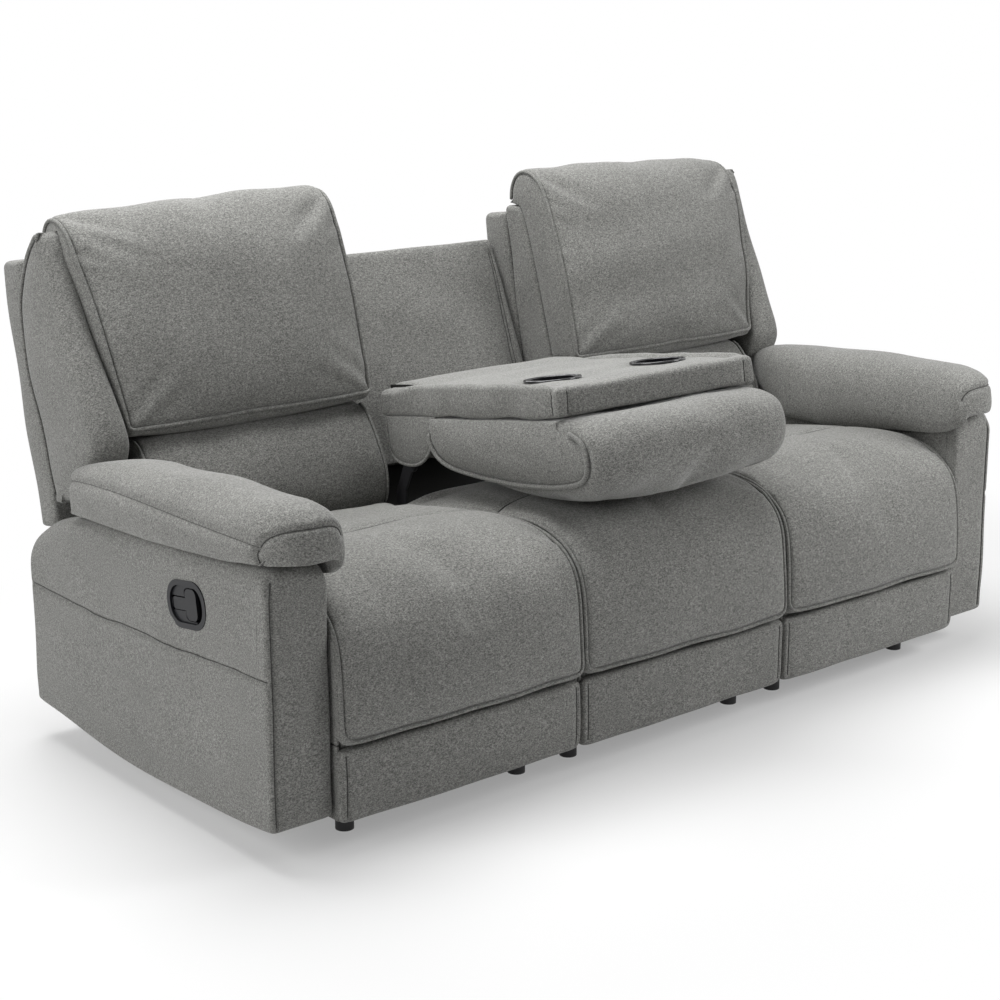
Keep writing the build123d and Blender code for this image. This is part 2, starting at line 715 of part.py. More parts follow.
def middle_rear():
    thick = 18.0
    half = back_inner - 7
    run = hypot(rear_top[0] - rear_low[0], rear_top[1] - rear_low[1])
    out = ((rear_top[1] - rear_low[1]) / run * thick, (rear_low[0] - rear_top[0]) / run * thick)
    board = [rear_low, rear_top, (rear_top[0] + out[0], rear_top[1] + out[1])]
    board.append((rear_low[0] + out[0], rear_low[1] + out[1]))
    save("middle_rear_panel", side_plate(board, -half, half, [3, 8, 8, 3]))
    behind_low = board[3]
    behind_top = (on_line(board[3], board[2], 790.0), 790.0)
    cover_low = (372.0, 380.0)
    cover_top = (452.0, 790.0)
    post = [(base_rear - 50, rail_high), (base_rear, rail_high), (base_rear, 372.0), cover_low, cover_top]
    post += [behind_top, behind_low, (base_rear - 50, behind_low[1])]
    posts = []
    for side in (-1, 1):
        x = sorted((side * (middle_rail_offset - 15), side * (middle_rail_offset + 11)))
        posts.append(side_plate(post, x[0], x[1]))
    save("middle_rear_posts", posts)
    cover = [cover_low, cover_top, (cover_top[0] + 14, cover_top[1] + 8)]
    cover.append((cover_low[0] + 14, cover_low[1] - 4))
    save("rear_covers", [side_plate(cover, -half, half, [2, 4, 4, 2]), valance()])


def valance():
    """Panel across the rear, notched where the back hinge plates swing down."""
    panel = block((-arm_inner, arm_inner), (base_rear, base_rear + 12), (hem + 2, 372.0))
    for sign in (-1, 1):
        for side in (-1, 1):
            x = sign * seat_pitch
            notch = (x + side * (plate_low - 5), x + side * (plate_high + 5))
            panel -= block(notch, (base_rear - 5, base_rear + 20), (265.0, 400.0))
    return panel


base_parts()
arms()
levers()
seat_frames()
seat_cushions()
save("middle_front_pad", front_pad(0.0))
save("middle_front_panel", front_panel(0.0))
mechanism()
for name, sign in (("left", -1), ("right", 1)):
    footrest(name, unit_x[name])
    end_back(name, sign)
console()
middle_rear()
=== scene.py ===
# %% [markdown]
# # A recliner sofa with a fold-down console
# The sofa is a steel and wood frame under padded covers. The frame comes in as solid parts that already
# carry the joints. This lesson dresses it: every soft part becomes a padded form with its own seams, and
# every hard part gets a finish. All numbers are metres in the frame of the solid parts, except drawn points,
# which are millimetres: X runs along the sofa, the front faces -Y and Z is up.

# %% Load the frame and measure it
import json
from math import cos, radians, sin

import bpy
import numpy as np
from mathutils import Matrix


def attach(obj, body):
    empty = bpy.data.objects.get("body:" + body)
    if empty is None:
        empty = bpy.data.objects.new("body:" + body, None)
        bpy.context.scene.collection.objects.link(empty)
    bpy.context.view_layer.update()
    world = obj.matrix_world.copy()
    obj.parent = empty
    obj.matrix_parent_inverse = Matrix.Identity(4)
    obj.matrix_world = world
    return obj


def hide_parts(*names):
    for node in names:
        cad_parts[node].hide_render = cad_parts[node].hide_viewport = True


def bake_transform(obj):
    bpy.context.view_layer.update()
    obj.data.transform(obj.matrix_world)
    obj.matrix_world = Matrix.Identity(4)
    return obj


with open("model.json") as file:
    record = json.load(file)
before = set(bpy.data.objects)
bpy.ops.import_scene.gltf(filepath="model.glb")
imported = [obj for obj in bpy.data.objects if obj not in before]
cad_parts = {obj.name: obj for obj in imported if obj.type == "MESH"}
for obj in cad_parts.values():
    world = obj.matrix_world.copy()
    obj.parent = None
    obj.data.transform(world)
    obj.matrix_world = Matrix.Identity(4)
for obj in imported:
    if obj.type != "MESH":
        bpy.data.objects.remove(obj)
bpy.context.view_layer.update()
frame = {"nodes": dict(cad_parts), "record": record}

scene = bpy.context.scene
MM = 0.001
SIDES = (("left", -1.0), ("right", 1.0))

# %% [markdown]
# ## Lines and blocks
# A cushion's section is drawn as two lines in the side view: the outer line that is seen and the inner
# line that rests on the frame. Given points are joined into a soft line by cutting the corners a few
# times, and then the line is divided evenly. It could be a Bezier curve object, but arrays keep the point
# order, so seams and piping can later be laid along known rows.

# %% Soft lines
def even(line, count):
    """Points at equal steps along the length of a line of straight pieces."""
    line = np.asarray(line, float)
    along = np.r_[0.0, np.cumsum(np.linalg.norm(np.diff(line, axis=0), axis=1))]
    steps = np.linspace(0.0, along[-1], count)
    return np.stack([np.interp(steps, along, part) for part in line.T], axis=1)


def soft(points, rounds=3):
    """Corner cutting: each inner corner is replaced by the points at a quarter and three quarters of its sides.
    It works on the last but one axis, so a whole stack of lines is rounded at once."""
    line = np.asarray(points, float)
    for _ in range(rounds):
        first = 0.75 * line[..., :-1, :] + 0.25 * line[..., 1:, :]
        second = 0.25 * line[..., :-1, :] + 0.75 * line[..., 1:, :]
        middle = np.stack([first, second], axis=-2).reshape(*line.shape[:-2], -1, line.shape[-1])
        line = np.concatenate([line[..., :1, :], middle, line[..., -1:, :]], axis=-2)
    return line


def soft_line(points, count):
    """A soft line through millimetre points, evenly divided, in metres."""
    return even(soft(points), count) * MM


def joined(first, second):
    """Two lines end to end; the shared point is kept once."""
    return np.vstack([first, second[1:]])


def ease(low, high, value):
    """0 below low, 1 above high, with a smooth S between."""
    share = np.clip((value - low) / (high - low), 0.0, 1.0)
    return share * share * (3.0 - 2.0 * share)


print("a soft line has", len(soft_line([(0, 0), (10, 0), (10, 10)], 9)), "points")

# %% [markdown]
# A padded block is the surface of a swept section. The section is a ladder: rungs join the outer line to the
# inner line. The ladder's rim, swept along one axis, is the skin, and the ladder itself closes both ends.
# First come the places along the sweep and the small parts of the ladder.

# %% Rims and ladders
class Block:
    """A closed mesh as arrays: points (V, 3), faces (F, 4), ring (S, L), the point numbers of the skin, ends, those
    of both end ladders, and n, the number of outer rows."""

    def __init__(self, points, faces, ring, ends, n):
        self.points, self.faces, self.ring, self.ends, self.n = points, faces, ring, ends, n

    @property
    def outer(self):
        """Point numbers of the outer surface, stations by rows."""
        return self.ring[:, :self.n]

    def held(self, ends=(0, -1)):
        """Point numbers that stay while a cover is filled: the side on the frame and the rings at the ends."""
        return np.r_[self.ring[:, self.n:].ravel(), self.ring[list(ends)].ravel()]


def stations(low, high, radius, step=0.012):
    """Places along the sweep: close together over the rounded ends, evenly spaced between."""
    turn = np.linspace(0.0, np.pi / 2, 6)[:-1]
    near = radius * (1.0 - np.cos(turn))
    count = max(int(round((high - low - 2 * radius) / step)), 4)
    return np.r_[low + near, np.linspace(low + radius, high - radius, count + 1), high - near[::-1]]


def side_stations(sign, inside, outside, radius, step=0.012):
    """Places between two distances from the middle of the sofa, on the side that the sign says."""
    return stations(*sorted((sign * inside, sign * outside)), radius, step)


def rim_normals(rim):
    """Outward normals of closed loops in a plane: the tangent from neighbour to neighbour, turned by 90 degrees."""
    following = np.roll(rim, -1, axis=-2)
    tangent = following - np.roll(rim, 1, axis=-2)
    normal = np.stack([tangent[..., 1], -tangent[..., 0]], axis=-1)
    normal /= np.linalg.norm(normal, axis=-1, keepdims=True) + 1e-12
    area = np.sum(rim[..., 0] * following[..., 1] - rim[..., 1] * following[..., 0], axis=-1)
    return normal * np.sign(area)[..., None, None]


def ladder_rim(outer, inner, rungs):
    """The rim of each ladder: along the outer line, down the last rung, back along the inner line, up the first."""
    rung = np.linspace(0.0, 1.0, rungs + 1)[1:-1]
    far = outer[:, -1:] + (inner[:, -1:] - outer[:, -1:]) * rung[None, :, None]
    near = (outer[:, :1] + (inner[:, :1] - outer[:, :1]) * rung[None, :, None])[:, ::-1]
    return np.concatenate([outer, far, inner[:, ::-1], near], axis=1)


def end_ladder(rim, row, n, m, first):
    """Closes one end: straight rungs from the outer to the inner line, with new points numbered from first on.
    Gives the new points in the section's plane and the point numbers of the whole end, n by m."""
    top, low = rim[1:n - 1], rim[n + m - 2:2 * n + m - 2][::-1][1:-1]
    share = np.linspace(0.0, 1.0, m)[None, 1:-1, None]
    numbers = np.empty((n, m), int)
    numbers[:, 0] = row[:n]
    numbers[-1, 1:-1] = row[n:n + m - 2]
    numbers[:, -1] = row[n + m - 2:2 * n + m - 2][::-1]
    numbers[0, 1:-1] = row[2 * n + m - 2:][::-1]
    numbers[1:-1, 1:-1] = first + np.arange((n - 2) * (m - 2)).reshape(n - 2, m - 2)
    return top[:, None] + (low - top)[:, None] * share, numbers


print("a sweep of 0.3 m has", len(stations(0.0, 0.3, 0.02, 0.05)), "stations")

# %% [markdown]
# Now the block itself. Near the ends the rim is drawn in along a quarter circle, which gives the soft edge of
# sewn foam, and across the sweep the outer line is lifted by a crown. Modelling a cube and smoothing it would
# be quicker, but its edges would not lie where the seams of the photographed covers are.

# %% Padded block
def around(rows):
    """Quads between neighbouring closed rows of point numbers."""
    following = np.roll(rows, -1, axis=1)
    return np.stack([rows[:-1], following[:-1], following[1:], rows[1:]], -1).reshape(-1, 4)


def outward(points, faces):
    """Turns all faces round when the volume they enclose comes out negative."""
    a, b, c, d = (points[faces[:, k]] for k in range(4))
    volume = np.sum(np.cross(a, b) * c) + np.sum(np.cross(a, c) * d)
    return faces if volume > 0 else faces[:, ::-1]


def padded_block(outer, inner, places, rungs, radius, inner_radius, crown=0.0, bulge=(0.0, 0.0), axis="x"):
    """A closed padded form.
    Skin(u, s) = rim(u) + normal(u) * (crown * (1 - |t|^3) * window(u) - r * (1 - sqrt(1 - c^2))), where t runs
    from -1 to 1 along the sweep, c is how far the point is inside the last r of the sweep, and window(u) is
    1 - |2u - 1|^6 on the outer line and 0 on the inner one. The ends bulge by 16 a(1-a) b(1-b) over the ladder.
    The radius r is one number or one for each point of the outer line."""
    size = len(places)
    outer = np.broadcast_to(outer, (size,) + np.shape(outer)[-2:])
    inner = np.broadcast_to(inner, (size,) + np.shape(inner)[-2:])
    rim = ladder_rim(outer, inner, rungs)
    n, m, length = outer.shape[1], rungs + 1, rim.shape[1]
    window = np.zeros(length)
    window[:n] = 1.0 - np.abs(2.0 * np.linspace(0.0, 1.0, n) - 1.0) ** 6
    low, high = places[0], places[-1]
    t = 2.0 * (places - low) / (high - low) - 1.0
    lift = crown * (1.0 - np.abs(t) ** 3)[:, None] * window[None, :]
    edge = np.full((size, length), float(inner_radius))
    edge[:, :n] = radius
    to_end = np.minimum(places - low, high - places)[:, None]
    cut = np.clip((edge - to_end) / edge, 0.0, 1.0)
    draw = edge * (1.0 - np.sqrt(1.0 - cut ** 2))
    skin = rim + rim_normals(rim) * (lift - draw)[..., None]
    ring = np.arange(size * length).reshape(size, length)
    sweep = np.broadcast_to(places[:, None, None], (size, length, 1))
    flat, faces, ends = [np.concatenate([skin, sweep], axis=2).reshape(-1, 3)], [around(ring)], []
    a, b = np.linspace(0.0, 1.0, n)[1:-1, None], np.linspace(0.0, 1.0, m)[None, 1:-1]
    for row, way, swollen in ((0, -1.0, bulge[0]), (size - 1, 1.0, bulge[1])):
        fill, numbers = end_ladder(skin[row], ring[row], n, m, sum(len(part) for part in flat))
        out = places[row] + way * swollen * 16.0 * a * (1.0 - a) * b * (1.0 - b)
        flat.append(np.concatenate([fill, out[..., None]], axis=2).reshape(-1, 3))
        quad = np.stack([numbers[:-1, :-1], numbers[1:, :-1], numbers[1:, 1:], numbers[:-1, 1:]], -1).reshape(-1, 4)
        faces.append(quad[:, ::-1] if way < 0 else quad)
        ends.append(numbers)
    points = np.vstack(flat)[:, [2, 0, 1] if axis == "x" else [0, 2, 1]]
    return Block(points, outward(points, np.vstack(faces)), ring, ends, n)


sample_top, sample_low = [(0, 0), (0.1, 0), (0.2, 0)], [(0, -0.1), (0.1, -0.1), (0.2, -0.1)]
sample = padded_block(sample_top, sample_low, stations(0, 0.3, 0.02, 0.05), rungs=6, radius=0.014, inner_radius=0.014)
print("a small block has", len(sample.points), "points and", len(sample.faces), "faces")

# %% [markdown]
# Arrays become meshes and back in one step each. A finished piece is an object at the origin with one finish;
# its place is in its mesh, so patterns on object coordinates never slide.

# %% Meshes and pieces
def mesh_of(points, faces):
    """A mesh from arrays."""
    mesh = bpy.data.meshes.new("shape")
    mesh.from_pydata(points.tolist(), [], faces.tolist())
    mesh.update()
    return mesh


def points_of(mesh):
    """All points of a mesh as one array."""
    flat = np.empty(len(mesh.vertices) * 3)
    mesh.vertices.foreach_get("co", flat)
    return flat.reshape(-1, 3)


def normals_of(mesh):
    """All point normals of a mesh as one array."""
    flat = np.empty(len(mesh.vertices) * 3)
    mesh.vertex_normals.foreach_get("vector", flat)
    return flat.reshape(-1, 3)


def moved(mesh, points):
    """Puts new point places into a mesh."""
    mesh.vertices.foreach_set("co", points.ravel())
    mesh.update()


def trial_of(mesh):
    """A passing object for a modifier."""
    trial = bpy.data.objects.new("trial", mesh)
    scene.collection.objects.link(trial)
    return trial


def applied(trial):
    """The mesh of a passing object with its modifiers; the object goes."""
    mesh = bpy.data.meshes.new_from_object(trial.evaluated_get(bpy.context.evaluated_depsgraph_get()))
    bpy.data.objects.remove(trial)
    return mesh


def piece(name, mesh, finish):
    """A named object at the origin, shaded smooth, with one finish."""
    mesh.name = name
    mesh.polygons.foreach_set("use_smooth", np.ones(len(mesh.polygons), bool))
    mesh.materials.clear()
    mesh.materials.append(finish)
    made = bpy.data.objects.new(name, mesh)
    scene.collection.objects.link(made)
    return made


print("the small block as a mesh has", len(mesh_of(sample.points, sample.faces).polygons), "faces")

# %% [markdown]
# ## Filling the cushions
# Real covers are cut flat, sewn at the edges and pushed out by foam. A short cloth run with air pressure does
# the same: the edges and the side on the frame are held, the rest swells and settles. Each point may move
# only so far, so a cushion keeps clear of its neighbours. The swollen mesh is then divided once more.

# %% Cloth fill
fill_pressure, fill_frames = 4.0, 20


def swell(block, held, most):
    """Blows the block up with held points pinned. A step s becomes most * tanh(s / most), so it stays under most."""
    trial = trial_of(mesh_of(block.points, block.faces))
    group = trial.vertex_groups.new(name="held")
    group.add(np.unique(held).tolist(), 1.0, "REPLACE")
    cloth = trial.modifiers.new("fill", "CLOTH")
    cloth.settings.quality = 4
    cloth.settings.mass = 0.15
    cloth.settings.use_pressure = True
    cloth.settings.uniform_pressure_force = fill_pressure
    cloth.settings.effector_weights.gravity = 0.0
    cloth.settings.vertex_group_mass = "held"
    cloth.settings.bending_stiffness = 4.0
    cloth.point_cache.frame_start = 1
    cloth.point_cache.frame_end = fill_frames
    for moment in range(1, fill_frames + 1):
        scene.frame_set(moment)
    step = points_of(trial.evaluated_get(bpy.context.evaluated_depsgraph_get()).data) - block.points
    far = np.linalg.norm(step, axis=1, keepdims=True) + 1e-9
    print("   swelled by up to", round(float(far.max() / MM), 1), "mm")
    block.points = block.points + step * (most * np.tanh(far / most) / far)
    bpy.data.objects.remove(trial)
    scene.frame_set(1)


def finer(block):
    """One smooth division of a block's mesh; the first points stay first, so ring numbers stay good."""
    trial = trial_of(mesh_of(block.points, block.faces))
    divide = trial.modifiers.new("divide", "SUBSURF")
    divide.levels = divide.render_levels = 1
    return applied(trial)


print("cloth runs are", "on")

# %% [markdown]
# Fabric over foam is never quite even, and it sinks where it is sewn down. Both are moves of the points along
# their normals. A displacement texture could do the first, but waves worked out from the point's place are
# the same in every run and need no picture.

# %% Unevenness and sewn valleys
def lumps(points, wave, height, seed):
    """Gentle unevenness: the mean of seven sine waves of about one wavelength in seeded directions, times a gain
    that makes up for the mean."""
    count, gain = 7, 1.6
    dice = np.random.default_rng(seed)
    way = dice.normal(size=(count, 3))
    way *= (2.0 * np.pi / wave) * dice.uniform(0.6, 1.4, (count, 1)) / np.linalg.norm(way, axis=1, keepdims=True)
    return height * np.sin(points @ way.T + dice.uniform(0, 6.28, count)).mean(axis=1) * gain


def ruffle(mesh, wave, height, seed, mask=None):
    """Moves points along their normals by the lumps, where the mask allows."""
    points, normal = points_of(mesh), normals_of(mesh)
    rise = lumps(points, wave, height, seed)
    rise = rise if mask is None else rise * mask(points)
    moved(mesh, points + normal * rise[:, None])


def off_line(points, line):
    """Distance from every point to a line of straight pieces."""
    best = np.full(len(points), 9.0)
    for origin, way in zip(line[:-1], np.diff(line, axis=0)):
        rel = points - origin
        share = np.clip(rel @ way / (way @ way + 1e-12), 0.0, 1.0)
        best = np.minimum(best, np.linalg.norm(rel - share[:, None] * way, axis=1))
    return best


def press(mesh, lines, depth, width):
    """Sewn valleys: points sink along their normals by depth * exp(-(distance / width)^2)."""
    points, normal = points_of(mesh), normals_of(mesh)
    sink = np.zeros(len(points))
    for line in lines:
        sink = np.maximum(sink, np.exp(-(off_line(points, line) / width) ** 2))
    moved(mesh, points - normal * (depth * sink)[:, None])


print("lumps of 2 mm rise to", round(float(lumps(sample.points, 0.1, 2.0, 1).max()), 2), "mm on the small block")

# %% [markdown]
# Piping is a cord covered with the same fabric and sewn into the seam. It is a tube carried along a row of
# points of the cushion: at each point a small circle stands across the path. A curve with a bevel would do
# the same.

# %% Tubes
def tube(path, radius, sides=8, closed=False):
    """Circle of given radius carried along a path, square to the neighbour-to-neighbour direction, ends closed.
    The circles are turned by one reference direction: of the 26 to a cube's corners, edges and faces, the one that
    stays farthest from being parallel to the path."""
    path = np.asarray(path, float)
    ahead = np.roll(path, -1, 0) - np.roll(path, 1, 0) if closed else np.gradient(path, axis=0)
    ahead /= np.linalg.norm(ahead, axis=1, keepdims=True) + 1e-12
    ways = np.stack(np.meshgrid(*[(-1.0, 0.0, 1.0)] * 3), -1).reshape(-1, 3)
    ways = ways[np.any(ways != 0.0, axis=1)]
    ways /= np.linalg.norm(ways, axis=1, keepdims=True)
    apart = np.linalg.norm(np.cross(ahead[:, None], ways[None]), axis=2).min(axis=0)
    aside = np.cross(ahead, ways[int(np.argmax(apart))])
    aside /= np.linalg.norm(aside, axis=1, keepdims=True) + 1e-12
    above = np.cross(ahead, aside)
    turn = np.linspace(0, 2 * np.pi, sides, endpoint=False)[None, :, None]
    points = path[:, None] + radius * (np.cos(turn) * aside[:, None] + np.sin(turn) * above[:, None])
    points = points.reshape(-1, 3)
    ring = np.arange(len(points)).reshape(-1, sides)
    if closed:
        return points, outward(points, around(np.vstack([ring, ring[:1]])))
    tip = 0.6
    tips = np.vstack([points, path[:1] - ahead[:1] * radius * tip, path[-1:] + ahead[-1:] * radius * tip])
    half = np.arange(0, sides, 2)
    first, last = np.full(len(half), len(points)), np.full(len(half), len(points) + 1)
    next_one, next_two = (half + 1) % sides, (half + 2) % sides
    cap = np.stack([first, ring[0, half], ring[0, next_one], ring[0, next_two]], -1)
    back = np.stack([last, ring[-1, next_two], ring[-1, next_one], ring[-1, half]], -1)
    return tips, outward(tips, np.vstack([around(ring), cap[:, ::-1], back[:, ::-1]]))


def several(shapes):
    """Many shapes as one: points and faces, with the face numbers moved on."""
    points, faces, used = [], [], 0
    for shape_points, shape_faces in shapes:
        points.append(shape_points)
        faces.append(shape_faces + used)
        used += len(shape_points)
    return np.vstack(points), np.vstack(faces)


print("a piping tube of 3 steps has", len(tube([(0, 0, 0), (1, 0, 0), (2, 0, 0)], 0.1)[0]), "points")

# %% [markdown]
# A seam and a piped edge are made alike: the cover sinks along a line, and a tube lies in the valley. A seam's
# tube is thin and dark: painted shade, a dark copy of the cloth that stands for the shadow in the valley. A
# piping cord is as thick as a pencil and stands at the height the cover had.

# %% Seams and piped edges
def onto(mesh, line, lift=0.0):
    """Carries a line to the surface: each point moves along the normal of the nearest mesh point, to its plane."""
    points, normal = points_of(mesh), normals_of(mesh)
    apart = np.sum(points ** 2, axis=1)[None, :] - 2.0 * line @ points.T
    near = np.argmin(apart, axis=1)
    gap = np.sum((points[near] - line) * normal[near], axis=1, keepdims=True)
    return line + normal[near] * (gap + lift)


def calm(line, rounds=10):
    """Takes the jitter out of a line: each inner point moves to a quarter, half and quarter of its neighbourhood."""
    line = np.array(line, float)
    for _ in range(rounds):
        line[1:-1] = 0.25 * line[:-2] + 0.5 * line[1:-1] + 0.25 * line[2:]
    return line


def sewn(mesh, lines, depth, width, radius=0.0012):
    """Seams: the cover sinks along each line, and thin dark tubes of painted seam shade lie at the bottom."""
    lines = [calm(onto(mesh, np.asarray(line, float))) for line in lines]
    press(mesh, lines, depth, width)
    return several([tube(onto(mesh, calm(onto(mesh, even(line, 120)), 6), 0.0003), radius, 6) for line in lines])


def piped(mesh, rows, radius=0.0038, depth=0.0034, width=0.0072, proud=0.0004):
    """Piping: the cover sinks along rows of its points, and a cord stands in the valley at the old height."""
    points, normal = points_of(mesh), normals_of(mesh)
    paths = [calm(even(points[row] + normal[row] * proud, int(len(row) * 1.6)), 4) for row in rows]
    press(mesh, [even(points[row], max(len(row) // 2, 12)) for row in rows], depth, width)
    return several([tube(path, radius) for path in paths])


print("a calmed zigzag ends at", calm([(0.0, 0.0), (1.0, 1.0), (2.0, 0.0)])[-1])

# %% [markdown]
# ## Finishes
# Shader maths reads best as ordinary expressions, so a small class stands for one socket and turns + - and *
# into Math nodes. Everything else is one call that names the node, its settings and its inputs.

# %% Socket expressions
class Wire:
    """One output socket in one node tree."""

    def __init__(self, tree, socket=None):
        self.tree, self.socket = tree, socket

    def node(self, kind, settings, sockets, out=0):
        """Adds a node: settings first (a ramp's stops are (place, colour) pairs), then values or links."""
        made = self.tree.nodes.new(kind)
        for key, value in settings.items():
            if key == "stops":
                self.stops(made.color_ramp, value)
            else:
                setattr(made, key, value)
        for key, value in sockets.items():
            if isinstance(value, Wire):
                self.tree.links.new(value.socket, made.inputs[key])
            else:
                made.inputs[key].default_value = value
        return Wire(self.tree, made.outputs[out] if made.outputs else None)

    def stops(self, ramp, pairs):
        """Sets the stops of a colour ramp."""
        while len(ramp.elements) < len(pairs):
            ramp.elements.new(0.5)
        for element, (place, colour) in zip(ramp.elements, pairs):
            element.position = place
            element.color = (*colour, 1.0)

    def maths(self, operation, a, b):
        """A Math node on two values or wires."""
        return self.node("ShaderNodeMath", {"operation": operation}, {0: a, 1: b})

    def __add__(self, other):
        return self.maths("ADD", self, other)

    def __radd__(self, other):
        return self.maths("ADD", other, self)

    def __sub__(self, other):
        return self.maths("SUBTRACT", self, other)

    def __rsub__(self, other):
        return self.maths("SUBTRACT", other, self)

    def __mul__(self, other):
        return self.maths("MULTIPLY", self, other)

    def __rmul__(self, other):
        return self.maths("MULTIPLY", other, self)


print("wires can be added, subtracted and multiplied, with a number on either side")

# %% [markdown]
# A few nodes come back in every finish, so each gets a short name: the empty material, the shader, a mix of two
# colours, noise, a colour ramp and the bump that stands for fine relief.

# %% Nodes that every finish uses
def new_finish(name):
    """An empty material and a wire into its tree."""
    material = bpy.data.materials.new(name)
    material.use_nodes = True
    material.node_tree.nodes.clear()
    return material, Wire(material.node_tree)


def shade(wire, sockets):
    """Principled shader to the output: links, and constants on the shader's own sockets."""
    shader = wire.node("ShaderNodeBsdfPrincipled", {}, sockets)
    wire.node("ShaderNodeOutputMaterial", {}, {"Surface": shader})


def mix(wire, share, a, b):
    """Mix of two colours by a share from 0 to 1."""
    return wire.node("ShaderNodeMix", {"data_type": "RGBA"}, {0: share, 6: a, 7: b}, out=2)


def noise(wire, place, scale, detail=2.0, rough=0.5):
    """Noise value at a place."""
    sockets = {"Vector": place, "Scale": scale, "Detail": detail, "Roughness": rough}
    return wire.node("ShaderNodeTexNoise", {}, sockets)


def ramp(wire, value, stops):
    """Colour for a value, from stops of place and colour."""
    return wire.node("ShaderNodeValToRGB", {"stops": stops}, {"Fac": value})


def relief(wire, height, strength, distance):
    """Normal bumped by a height."""
    return wire.node("ShaderNodeBump", {}, {"Strength": strength, "Distance": distance, "Height": height})


def object_place(wire):
    """Object coordinates, the same as the frame's metres here."""
    return wire.node("ShaderNodeTexCoord", {}, {}, out=3)


def stretched(wire, place, scale):
    """A place with its axes scaled."""
    return wire.node("ShaderNodeMapping", {}, {"Vector": place, "Scale": scale})


print("materials before the first finish:", len(bpy.data.materials))

# %% [markdown]
# The cover is a heathered chenille: light, mid and dark grey fibres twisted into one yarn, so the cloth shows
# fine flecks and a soft nubby face. Photographs of cloth would give this at once, but a procedural cloth has
# no seams and any size. Two fine noises colour the flecks, a broad one paints patches of nap shade, the pile's
# changing sheen painted as a darker copy of the yarn colour, and small cells lift the yarn knots in the bump. The
# sheen is the short fibre standing off the surface.

# %% Heathered chenille
fibre_tones = [(0.30, 0.072), (0.42, 0.138), (0.50, 0.195), (0.58, 0.268), (0.72, 0.375)]
warm = 0.945


def chenille(name, light=1.0, knot=0.35):
    """Grey heather cloth; light scales all its colours, knot is the depth of the yarn relief."""
    material, wire = new_finish(name)
    place = object_place(wire)
    yarn_place = stretched(wire, place, (0.62, 1.0, 1.0))
    fleck = noise(wire, yarn_place, 520.0, 2.0, 0.6)
    streak = noise(wire, yarn_place, 230.0, 2.0, 0.5)
    nap = noise(wire, place, 7.0, 3.0, 0.55)
    tints = [(at, (tone * light, tone * light, tone * light * warm)) for at, tone in fibre_tones]
    yarn = ramp(wire, fleck * 0.74 + streak * 0.26, tints)
    # painted nap shade: the yarn colour darkened to 0.87 and mixed back in patches by the broad noise, standing for
    # the pile's changing sheen
    shaded_yarn = mix(wire, 0.87, (0.0, 0.0, 0.0, 1.0), yarn)
    nap_shaded_yarn = mix(wire, nap * 2.2 - 0.6, shaded_yarn, yarn)
    cell = wire.node("ShaderNodeTexVoronoi", {}, {"Vector": yarn_place, "Scale": 330.0, "Randomness": 0.9})
    knots = relief(wire, fleck * 0.5 - cell * 0.55 + streak * 0.4, knot, 0.0016)
    shade(wire, {"Base Color": nap_shaded_yarn, "Roughness": 0.98 - fleck * 0.16, "Normal": knots,
                 "Sheen Weight": 0.22, "Sheen Roughness": 0.45, "Specular IOR Level": 0.18})
    return material


cover = chenille("chenille_cover")
piping = chenille("chenille_piping", 0.95, 0.25)
# painted seam shade: the cover cloth at 0.30 of its colours, for the thin dark tubes that stand for the shadow in
# each seam valley
painted_seam_shade = chenille("chenille_painted_seam_shade", 0.30, 0.10)
print("finishes so far", len(bpy.data.materials))

# %% [markdown]
# Powder-coated steel, moulded charcoal plastic with a spark-eroded grain and high-gloss black cups differ only
# in numbers. Each gets its own fine relief and an uneven roughness, because one flat value everywhere looks
# like paint on a screen.

# %% Moulded and coated parts
def moulded(name, colour, rough, grain, depth, coat=0.0, gloss=0.5):
    """Plastic or coated metal: small noise relief, roughness that wanders a little, faint colour drift."""
    material, wire = new_finish(name)
    place = object_place(wire)
    fine = noise(wire, place, grain, 2.0)
    drift = noise(wire, place, 14.0, 2.0)
    deeper = tuple(0.72 * value for value in colour)
    tint = mix(wire, drift, (*deeper, 1.0), (*colour, 1.0))
    grained = relief(wire, fine, depth, 0.0004)
    shade(wire, {"Base Color": tint, "Roughness": rough + drift * 0.14 - 0.07, "Normal": grained,
                 "Coat Weight": coat, "Coat Roughness": 0.06, "Specular IOR Level": gloss})
    return material


finishes = {
    "black_steel": moulded("powder_coat", (0.030, 0.030, 0.033), 0.42, 900.0, 0.12),
    "black_plastic": moulded("foot_plastic", (0.020, 0.020, 0.021), 0.55, 700.0, 0.15),
    "charcoal_plastic": moulded("lever_plastic", (0.011, 0.0115, 0.0135), 0.40, 1300.0, 0.14, gloss=0.28),
    "gloss_black": moulded("cup_gloss", (0.010, 0.010, 0.012), 0.16, 300.0, 0.02, 0.5, gloss=0.35),
    "grey_fabric": cover,
}
print("finishes so far", len(bpy.data.materials))

# %% [markdown]
# Three plain materials stay mostly hidden: pine rails, woven elastic webbing under the seats, and the thin black
# cloth that closes gaps. They are kept simple, but the wood still has its rings and the webbing its ribs.

# %% Wood, webbing and lining
def plain_wood(name):
    """Pine rail: growth rings as noise drawn out along X, a little pore relief."""
    material, wire = new_finish(name)
    ring = noise(wire, stretched(wire, object_place(wire), (3.0, 40.0, 40.0)), 1.6, 4.0, 0.6)
    grain = ramp(wire, ring, [(0.3, (0.42, 0.26, 0.13)), (0.7, (0.66, 0.48, 0.29))])
    shade(wire, {"Base Color": grain, "Roughness": 0.55 + ring * 0.2, "Normal": relief(wire, ring, 0.2, 0.001)})
    return material


